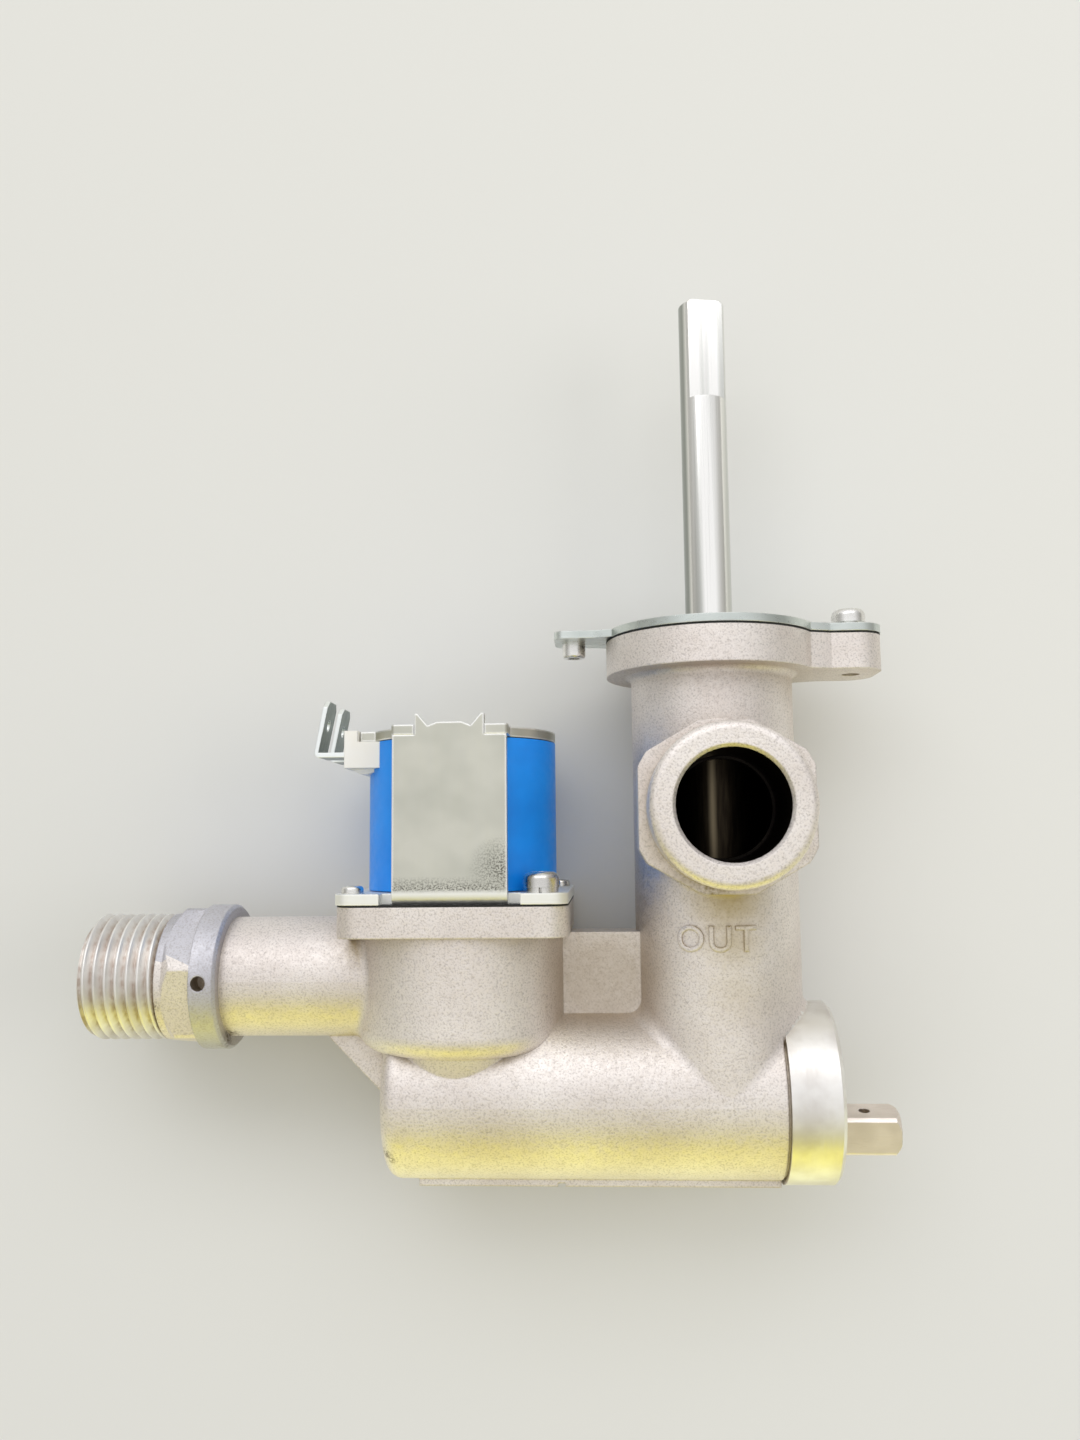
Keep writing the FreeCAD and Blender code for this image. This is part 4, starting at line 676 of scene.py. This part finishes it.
def copy_solid(node_name, name):
    """A copy of a solid with a mesh of its own, whose loose triangles are merged."""
    copy = nodes[node_name].copy()
    copy.data = nodes[node_name].data.copy()
    copy.name = name
    bpy.context.collection.objects.link(copy)
    copy.parent = None
    choose(copy)
    bpy.ops.object.mode_set(mode="EDIT")
    bpy.ops.mesh.select_all(action="SELECT")
    bpy.ops.mesh.remove_doubles(threshold=MERGE_GAP)
    bpy.ops.object.mode_set(mode="OBJECT")
    return copy


casting = copy_solid("valve_body", "valve_casting")
print("casting points after merging:", len(casting.data.vertices))

# %% Cut the spigot off the copy
THREAD_RADIUS = 10.4775 * MM
THREAD_END = 13.2 * MM
THREAD_PITCH = 25.4 / 14 * MM
INLET_BORE = 7.5 * MM
SPIGOT_END = THREAD_END - 0.05 * MM
CLEAN_CUT = 0.00001 * MM

bpy.ops.object.mode_set(mode="EDIT")
bpy.ops.mesh.select_all(action="SELECT")
bpy.ops.mesh.bisect(
    plane_co=(SPIGOT_END, 0, 0), plane_no=(1, 0, 0),
    clear_inner=True, use_fill=False, threshold=CLEAN_CUT,
)
bpy.ops.mesh.select_all(action="DESELECT")
bpy.ops.mesh.select_mode(type="EDGE")
bpy.ops.mesh.select_non_manifold(extend=False)
bpy.ops.mesh.bridge_edge_loops()
bpy.ops.mesh.select_all(action="DESELECT")
bpy.ops.mesh.select_non_manifold(extend=False)
bpy.ops.object.mode_set(mode="OBJECT")
open_edges = sum(edge.select for edge in casting.data.edges)
print("casting faces:", len(casting.data.polygons), "open edges left:", open_edges)

# %% [markdown]
# ### Which faces were machined
# The same casting wears four finishes, and its faces are told apart by where they are. The ring at
# the end of the lower barrel and the mouth of the inlet's bore are turned. The collar and the upper
# spanner flats get a darker grey copy of the blasted finish, a painted shade. The walls of the
# outlet and of the regulator's bore are painted nearly black, as shade for their depth. All the
# rest, with the lower spanner flats, is blasted.

# %% Sort the casting's faces by place
OUTLET_X, OUTLET_Y = 105.2 * MM, 27.1 * MM
BARREL_Y = -18.9 * MM
CASTING_FINISHES = ("bead_blasted_aluminium", "turned_aluminium", "bore_in_painted_shade", "blasted_aluminium_in_painted_shade")
BLASTED, TURNED, BORE_SHADE, SHADED_GREY = range(4)


def finish_at(x, y, z):
    """Which finish a face wears, by where its centre is."""
    from_outlet = math.hypot(x - OUTLET_X, y - OUTLET_Y)
    from_regulator = math.hypot(x - OUTLET_X, z)
    from_barrel = math.hypot(y - BARREL_Y, z)
    from_inlet = math.hypot(y, z)
    outlet_wall = z > 9 * MM and from_outlet < 8.5 * MM
    regulator_wall = from_regulator < 11.2 * MM and 0 < y < 50 * MM
    end_ring = x > 114.3 * MM and from_barrel < 14.6 * MM and y < 0
    outer_inlet = x < 24 * MM and from_inlet > 9.95 * MM
    collar = outer_inlet and x > 19.3 * MM
    upper_flats = outer_inlet and math.atan2(y, z) > 0.33
    inlet_mouth = x < 14 * MM and from_inlet < 8 * MM
    # Painted shade: the walls of the outlet and the regulator's bore are nearly black.
    if outlet_wall or regulator_wall:
        return BORE_SHADE
    if end_ring:
        return TURNED
    # Painted shade: the collar and the upper flats get the darker grey copy of the blasted finish.
    if collar or upper_flats:
        return SHADED_GREY
    return TURNED if inlet_mouth else BLASTED


casting.data.materials.clear()
for finish in CASTING_FINISHES:
    casting.data.materials.append(finishes[finish])
for face in casting.data.polygons:
    face.material_index = finish_at(*face.center)
print("turned faces:", sum(face.material_index == TURNED for face in casting.data.polygons))

# %% [markdown]
# ### Shading it like the solid
# The solid knows which way each corner of its triangles faces, so that a round wall shades round
# and a flat one flat. Merging the points loses that. Each face of the copy is found again in the
# solid by its centre, and takes its corners' directions from there. The few faces that the plane
# cut get theirs from what they are: a round bore, or a flat rim.

# %% Find each face of the copy in the solid
SAME_PLACE = 0.001 * MM
solid = nodes["valve_body"].data
centres = KDTree(len(solid.polygons))
for face in solid.polygons:
    centres.insert(face.center, face.index)
centres.balance()


def solid_corners(face):
    """The places and directions of the same face's corners in the solid, or none."""
    _, twin, distance = centres.find(face.center)
    if distance >= SAME_PLACE:
        return []
    corners = solid.polygons[twin].loop_indices
    places = [solid.vertices[solid.loops[corner].vertex_index].co for corner in corners]
    return list(zip(places, [solid.corner_normals[corner].vector.copy() for corner in corners]))


print("faces in the solid:", len(solid.polygons))

# %% Give the copy the solid's shading
choose(casting)
bpy.ops.mesh.customdata_custom_splitnormals_clear()
bpy.ops.object.shade_smooth()
directions = [(0.0, 0.0, 0.0)] * len(casting.data.loops)
found = 0
for face in casting.data.polygons:
    known = solid_corners(face)
    found += bool(known)
    in_bore = math.hypot(face.center.y, face.center.z) < INLET_BORE
    for own in face.loop_indices:
        corner = casting.data.vertices[casting.data.loops[own].vertex_index].co
        if known:
            directions[own] = min(known, key=lambda other: (corner - other[0]).length)[1]
        elif in_bore:
            directions[own] = -Vector((0, corner.y, corner.z)).normalized()
        else:
            directions[own] = face.normal.copy()
casting.data.normals_split_custom_set(directions)
print("faces shaded like the solid:", found, "of", len(casting.data.polygons))

# %% [markdown]
# ## The pipe thread
# A half inch pipe thread has 14 turns to the inch, one every 1.814 mm, with flanks at 55 degrees
# and rounded crests. One turn's outline is drawn as a short chain of points. The Screw modifier
# carries it round the axis and forward by one pitch a turn, which is how a lathe cuts it. Two
# planes then trim it to length and fill its ends, and a turned sleeve with a chamfered nose gives
# it its bore.

# %% Draw one pitch
THREAD_DEPTH = 0.64 * THREAD_PITCH
THREAD_ROOT = THREAD_RADIUS - THREAD_DEPTH
# Shares of the pitch along the axis, and of the depth outwards.
OUTLINE = [
    (0.0, 0.0), (0.07, 0.06), (0.4, 0.93), (0.46, 0.99), (0.54, 0.99), (0.6, 0.93), (0.93, 0.06),
]
outline = [(along * THREAD_PITCH, THREAD_ROOT + out * THREAD_DEPTH) for along, out in OUTLINE]
outline.append((THREAD_PITCH, THREAD_ROOT))

bpy.ops.mesh.primitive_plane_add(size=THREAD_PITCH, location=(0, 0, 0))
thread = bpy.context.object
thread.name = "inlet_thread"
bpy.ops.object.mode_set(mode="EDIT")
bpy.ops.mesh.select_mode(type="VERT")
bpy.ops.mesh.select_all(action="SELECT")
bpy.ops.mesh.merge(type="CENTER")
bpy.ops.mesh.select_all(action="SELECT")
bpy.ops.transform.translate(value=(outline[0][0] - THREAD_PITCH, outline[0][1], 0))
for start, end in zip(outline, outline[1:]):
    step = (end[0] - start[0], end[1] - start[1], 0)
    bpy.ops.mesh.extrude_region_move(TRANSFORM_OT_translate={"value": step})
bpy.ops.object.mode_set(mode="OBJECT")
print("points in the outline:", len(thread.data.vertices))

# %% Screw it round the inlet
ROUND_STEPS = 120
WELD_GAP = 0.001 * MM
turns = thread.modifiers.new("turns", "SCREW")
turns.axis = "X"
turns.steps = ROUND_STEPS
turns.render_steps = ROUND_STEPS
turns.screw_offset = THREAD_PITCH
turns.iterations = math.ceil(THREAD_END / THREAD_PITCH) + 2
turns.use_merge_vertices = True
turns.merge_threshold = WELD_GAP
turns.use_smooth_shade = True
choose(thread)
bpy.ops.object.modifier_apply(modifier="turns")
reach = [vertex.co.x for vertex in thread.data.vertices]
print("thread before trimming, in mm:", round(min(reach) / MM, 2), "to", round(max(reach) / MM, 2))

# %% Trim the thread to length
bpy.ops.object.mode_set(mode="EDIT")
bpy.ops.mesh.select_mode(type="VERT")
bpy.ops.mesh.select_all(action="SELECT")
bpy.ops.mesh.remove_doubles(threshold=WELD_GAP)
for cut_x, waste in ((0.0005 * MM, "clear_inner"), (SPIGOT_END, "clear_outer")):
    bpy.ops.mesh.select_all(action="SELECT")
    bpy.ops.mesh.bisect(
        plane_co=(cut_x, 0, 0), plane_no=(1, 0, 0),
        use_fill=True, threshold=CLEAN_CUT, **{waste: True},
    )
bpy.ops.mesh.select_all(action="SELECT")
bpy.ops.mesh.normals_make_consistent(inside=False)
bpy.ops.object.mode_set(mode="OBJECT")
print("thread faces:", len(thread.data.polygons))

# %% [markdown]
# ### The sleeve that bores and chamfers it
# A cylinder with a bevelled front edge has the chamfer. Insetting both ends and bridging them makes
# the bore.

# %% Turn the sleeve's chamfer
CHAMFER = 1.0 * MM
bpy.ops.mesh.primitive_cylinder_add(
    vertices=ROUND_STEPS, radius=THREAD_RADIUS + 0.02 * MM, depth=SPIGOT_END,
    location=(SPIGOT_END / 2, 0, 0), rotation=(0, math.pi / 2, 0),
)
sleeve = bpy.context.object
settle(sleeve)
bpy.ops.object.mode_set(mode="EDIT")
bpy.ops.mesh.select_mode(type="FACE")
bpy.ops.mesh.select_all(action="DESELECT")
bpy.ops.object.mode_set(mode="OBJECT")
for face in sleeve.data.polygons:
    face.select = face.normal.x < -0.9
bpy.ops.object.mode_set(mode="EDIT")
bpy.ops.mesh.bevel(offset=CHAMFER, segments=1, affect="EDGES")
bpy.ops.object.mode_set(mode="OBJECT")
print("sleeve faces:", len(sleeve.data.polygons))

# %% Bore the sleeve
for face in sleeve.data.polygons:
    face.select = abs(face.normal.x) > 0.99 and len(face.vertices) > 10
bpy.ops.object.mode_set(mode="EDIT")
bpy.ops.mesh.inset(thickness=0.8 * MM, depth=0, use_individual=True)
bpy.ops.object.mode_set(mode="OBJECT")
for face in sleeve.data.polygons:
    if face.select:
        for index in face.vertices:
            corner = sleeve.data.vertices[index].co
            spread = INLET_BORE / math.hypot(corner.y, corner.z)
            corner.y *= spread
            corner.z *= spread
bpy.ops.object.mode_set(mode="EDIT")
bpy.ops.mesh.bridge_edge_loops()
bpy.ops.mesh.select_all(action="SELECT")
bpy.ops.mesh.normals_make_consistent(inside=False)
bpy.ops.object.mode_set(mode="OBJECT")
print("sleeve faces with its bore:", len(sleeve.data.polygons))

# %% [markdown]
# ### The finished spigot
# What the thread and the sleeve have in common is the finished spigot. The cut leaves a few faces
# without any area, which are dissolved. Edges up to 35 degrees shade smooth, so the crests look
# round and the chamfer keeps its edge.

# %% Bore and chamfer the thread
SOFT_ANGLE = math.radians(35)
common = thread.modifiers.new("bore", "BOOLEAN")
common.operation = "INTERSECT"
common.solver = "EXACT"
common.object = sleeve
choose(thread)
bpy.ops.object.modifier_apply(modifier="bore")
bpy.data.objects.remove(sleeve)
bpy.ops.object.mode_set(mode="EDIT")
bpy.ops.mesh.select_all(action="SELECT")
bpy.ops.mesh.dissolve_degenerate(threshold=WELD_GAP)
bpy.ops.object.mode_set(mode="OBJECT")
bpy.ops.object.shade_smooth_by_angle(angle=SOFT_ANGLE)
dress(thread, "turned_aluminium")
print("spigot faces:", len(thread.data.polygons))

# %% [markdown]
# ## The cast mark below the outlet
# Valves of this kind are cast with the word for the outlet beside it. It stands about a quarter of
# a millimetre proud of the round barrel. Text lies flat when it is typed, so it is made a mesh and
# cut fine enough to bend. Its points are then lowered onto the barrel's curve.

# %% Type the mark
MARK_HEIGHT = 3.9 * MM
MARK_RISE = 0.22 * MM
CAPITALS = 0.7  # how high a capital stands in a text of size 1

bpy.ops.object.text_add(location=(0, 0, 0))
mark = bpy.context.object
mark.name = "outlet_mark"
mark.data.body = "OUT"
mark.data.align_x = "CENTER"
mark.data.size = MARK_HEIGHT / CAPITALS
mark.data.space_character = 1.15
mark.data.extrude = MARK_RISE
mark.data.bevel_depth = 0.1 * MM
mark.data.bevel_resolution = 1
bpy.ops.object.convert(target="MESH")
settle(mark)
bpy.ops.object.mode_set(mode="EDIT")
bpy.ops.mesh.select_all(action="SELECT")
bpy.ops.mesh.remove_doubles(threshold=MERGE_GAP)
bpy.ops.mesh.select_all(action="SELECT")
bpy.ops.mesh.quads_convert_to_tris()
bpy.ops.mesh.subdivide(number_cuts=2)
bpy.ops.object.mode_set(mode="OBJECT")
print("mark faces:", len(mark.data.polygons))

# %% Lay the mark on the barrel
REGULATOR_RADIUS = 13.6 * MM
MARK_TO_THE_LEFT = 1.5 * MM
MARK_Y = 4.9 * MM
for vertex in mark.data.vertices:
    turn = (vertex.co.x - MARK_TO_THE_LEFT) / REGULATOR_RADIUS
    radius = REGULATOR_RADIUS + vertex.co.z
    vertex.co.x = OUTLET_X + radius * math.sin(turn)
    vertex.co.y = vertex.co.y + MARK_Y
    vertex.co.z = radius * math.cos(turn)
dress(mark, "bead_blasted_aluminium")
choose(mark)
bpy.ops.object.shade_smooth_by_angle(angle=SOFT_ANGLE)
print("mark's highest point, in mm:", round(max(v.co.z for v in mark.data.vertices) / MM, 2))

# %% [markdown]
# ## The plunger's spring
# When the coil lifts the plunger by 2.6 mm, the spring above it is pressed shorter against the
# fixed core. A copy of the spring, merged and shaded smooth, stands for the solid spring.

# %% A copy of the spring
spring = copy_solid("plunger_spring", "plunger_return_spring")
bpy.ops.mesh.customdata_custom_splitnormals_clear()
bpy.ops.object.shade_smooth_by_angle(angle=SOFT_ANGLE)

# %% [markdown]
# ## What moves with what
# Each new piece rides on the body that carries it. The casting, its thread and its mark are all
# part of the housing, and together they stand for the plain solid. The spring's copy hangs on the
# housing too, in place of the solid spring.

# %% Hang the pieces on the housing
for piece in (casting, thread, mark):
    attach(piece, "housing")
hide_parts("valve_body")
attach(spring, "housing")
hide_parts("plunger_spring")
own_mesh(spring)
print("new pieces:", [piece.name for piece in (casting, thread, mark, spring)])

# %% [markdown]
# ## Floor, light and camera
# The valve lies on a plain pale floor. The floor has no shine of its own, so that no lamp draws a
# bright patch on it.

# %% The floor
floor_z = cad_box[0][2]
bpy.ops.mesh.primitive_plane_add(size=6.0, location=(0.085, 0.02, floor_z))
floor = bpy.context.object
floor.name = "floor"
shader = start_finish("pale_floor", 0.0, 0.75)[1]
shader.inputs["Base Color"].default_value = linear("#E4E4E1")
shader.inputs["Specular IOR Level"].default_value = 0.0
floor.data.materials.append(finishes["pale_floor"])
print("floor at", round(floor_z / MM, 2), "mm")

# %% [markdown]
# ### The lamps
# A large soft lamp above the picture and a smaller one on the right light the valve. The right one
# doesn't show in reflections, where it would make a hard bright patch. Two warm lamps do the
# opposite: they show only in reflections, because metal that faces down the picture needs
# something warm to reflect there. One stands beyond the lower edge, and the other lies on the
# floor before it.

# %% Hang the lamps
def soft_lamp(name, location, aim, width, height, watts, colour, unseen_by=()):
    """A flat lamp that faces a point. Its width stays level, and some rays may pass it unseen."""
    turn = (Vector(aim) - Vector(location)).to_track_quat("-Z", "Y").to_euler()
    bpy.ops.object.light_add(type="AREA", location=location, rotation=turn)
    lamp = bpy.context.object
    lamp.name = name
    lamp.data.shape = "RECTANGLE"
    lamp.data.size = width
    lamp.data.size_y = height
    lamp.data.energy = watts
    lamp.data.color = linear(colour)[:3]
    for rays in unseen_by:
        setattr(lamp, "visible_" + rays, False)


MIDDLE = (0.085, 0.03, 0.0)
soft_lamp("lamp_above", (0.0, 0.75, 0.75), MIDDLE, 1.4, 0.5, 2.8, "#FFFFFF")
soft_lamp("lamp_right", (0.95, 0.1, 0.5), MIDDLE, 0.6, 0.6, 2.2, "#FFFDFA", ["glossy"])
soft_lamp("lamp_warm", (0.08, -0.7, 0.17), MIDDLE, 1.5, 0.4, 2.0, "#EAE25C", ["diffuse"])
soft_lamp(
    "lamp_low", (0.08, -0.51, floor_z + 4.0 * MM), (0.08, -0.51, 1.0), 1.6, 0.9, 2.35, "#DADC2A",
    ["diffuse", "camera"],
)

# %% [markdown]
# ### The pale room
# A pale world fills in the shadows, so that a colour looks as it is written. Metal shows mostly
# what it reflects, so the room is warmer and darker beyond the lower edge of the picture, and
# darker at its sides. The camera itself sees one plain grey.

# %% Paint the room
world = bpy.data.worlds.new("pale_room")
bpy.context.scene.world = world
world.use_nodes = True
room = world.node_tree
towards = add_node(room, "ShaderNodeTexCoord").outputs["Generated"]
direction = add_node(room, "ShaderNodeSeparateXYZ", {"Vector": towards})
sockets = {"Value": direction.outputs["Y"], "From Min": -0.35, "From Max": -0.75}
low_side = add_node(room, "ShaderNodeMapRange", sockets)
sockets = {SHARE: low_side, UNDER: linear("#F0F0F1"), OVER: linear("#A49C58")}
wall = add_node(room, "ShaderNodeMix", sockets, data_type="RGBA")
sideways = add_node(
    room, "ShaderNodeMath", {0: direction.outputs["X"]}, operation="ABSOLUTE"
)
sockets = {"Value": sideways, "From Min": 0.55, "From Max": 1.0, "To Max": 0.8}
flank = add_node(room, "ShaderNodeMapRange", sockets)
sockets = {SHARE: flank, UNDER: wall, OVER: linear("#7E7C72")}
wall = add_node(room, "ShaderNodeMix", sockets, data_type="RGBA")
looked_at = add_node(room, "ShaderNodeLightPath").outputs["Is Camera Ray"]
sockets = {SHARE: looked_at, UNDER: wall, OVER: linear("#D9D9D7")}
wall = add_node(room, "ShaderNodeMix", sockets, data_type="RGBA")
plug(room, wall, room.nodes["Background"], "Color")
room.nodes["Background"].inputs["Strength"].default_value = 1.05
print("nodes in the room:", len(room.nodes))

# %% [markdown]
# ### The camera
# The camera stands close, where the picture was taken from, so that the outlet leans towards it.
# Its place and angle come from a fit of the valve's own sizes to the picture. The fit also gave
# the lens: how many picture points one unit of slope covers.

# %% Set up the camera
TILT = Vector((0.1115, 0.0546, -0.0128))
SENSOR = 36.0
POINTS_FOR_SLOPE = 1131.83
PICTURE_POINTS = 1440.0
view = Quaternion(TILT.normalized(), TILT.length).to_euler()
bpy.ops.object.camera_add(location=(86.30 * MM, 21.28 * MM, 193.66 * MM), rotation=view)
camera = bpy.context.object
camera.data.sensor_fit = "VERTICAL"
camera.data.sensor_height = SENSOR
camera.data.lens = SENSOR * POINTS_FOR_SLOPE / PICTURE_POINTS
camera.data.clip_start = 0.005
bpy.context.scene.camera = camera
bpy.context.scene.view_settings.view_transform = "Standard"
print("lens in millimetres:", round(camera.data.lens, 2))
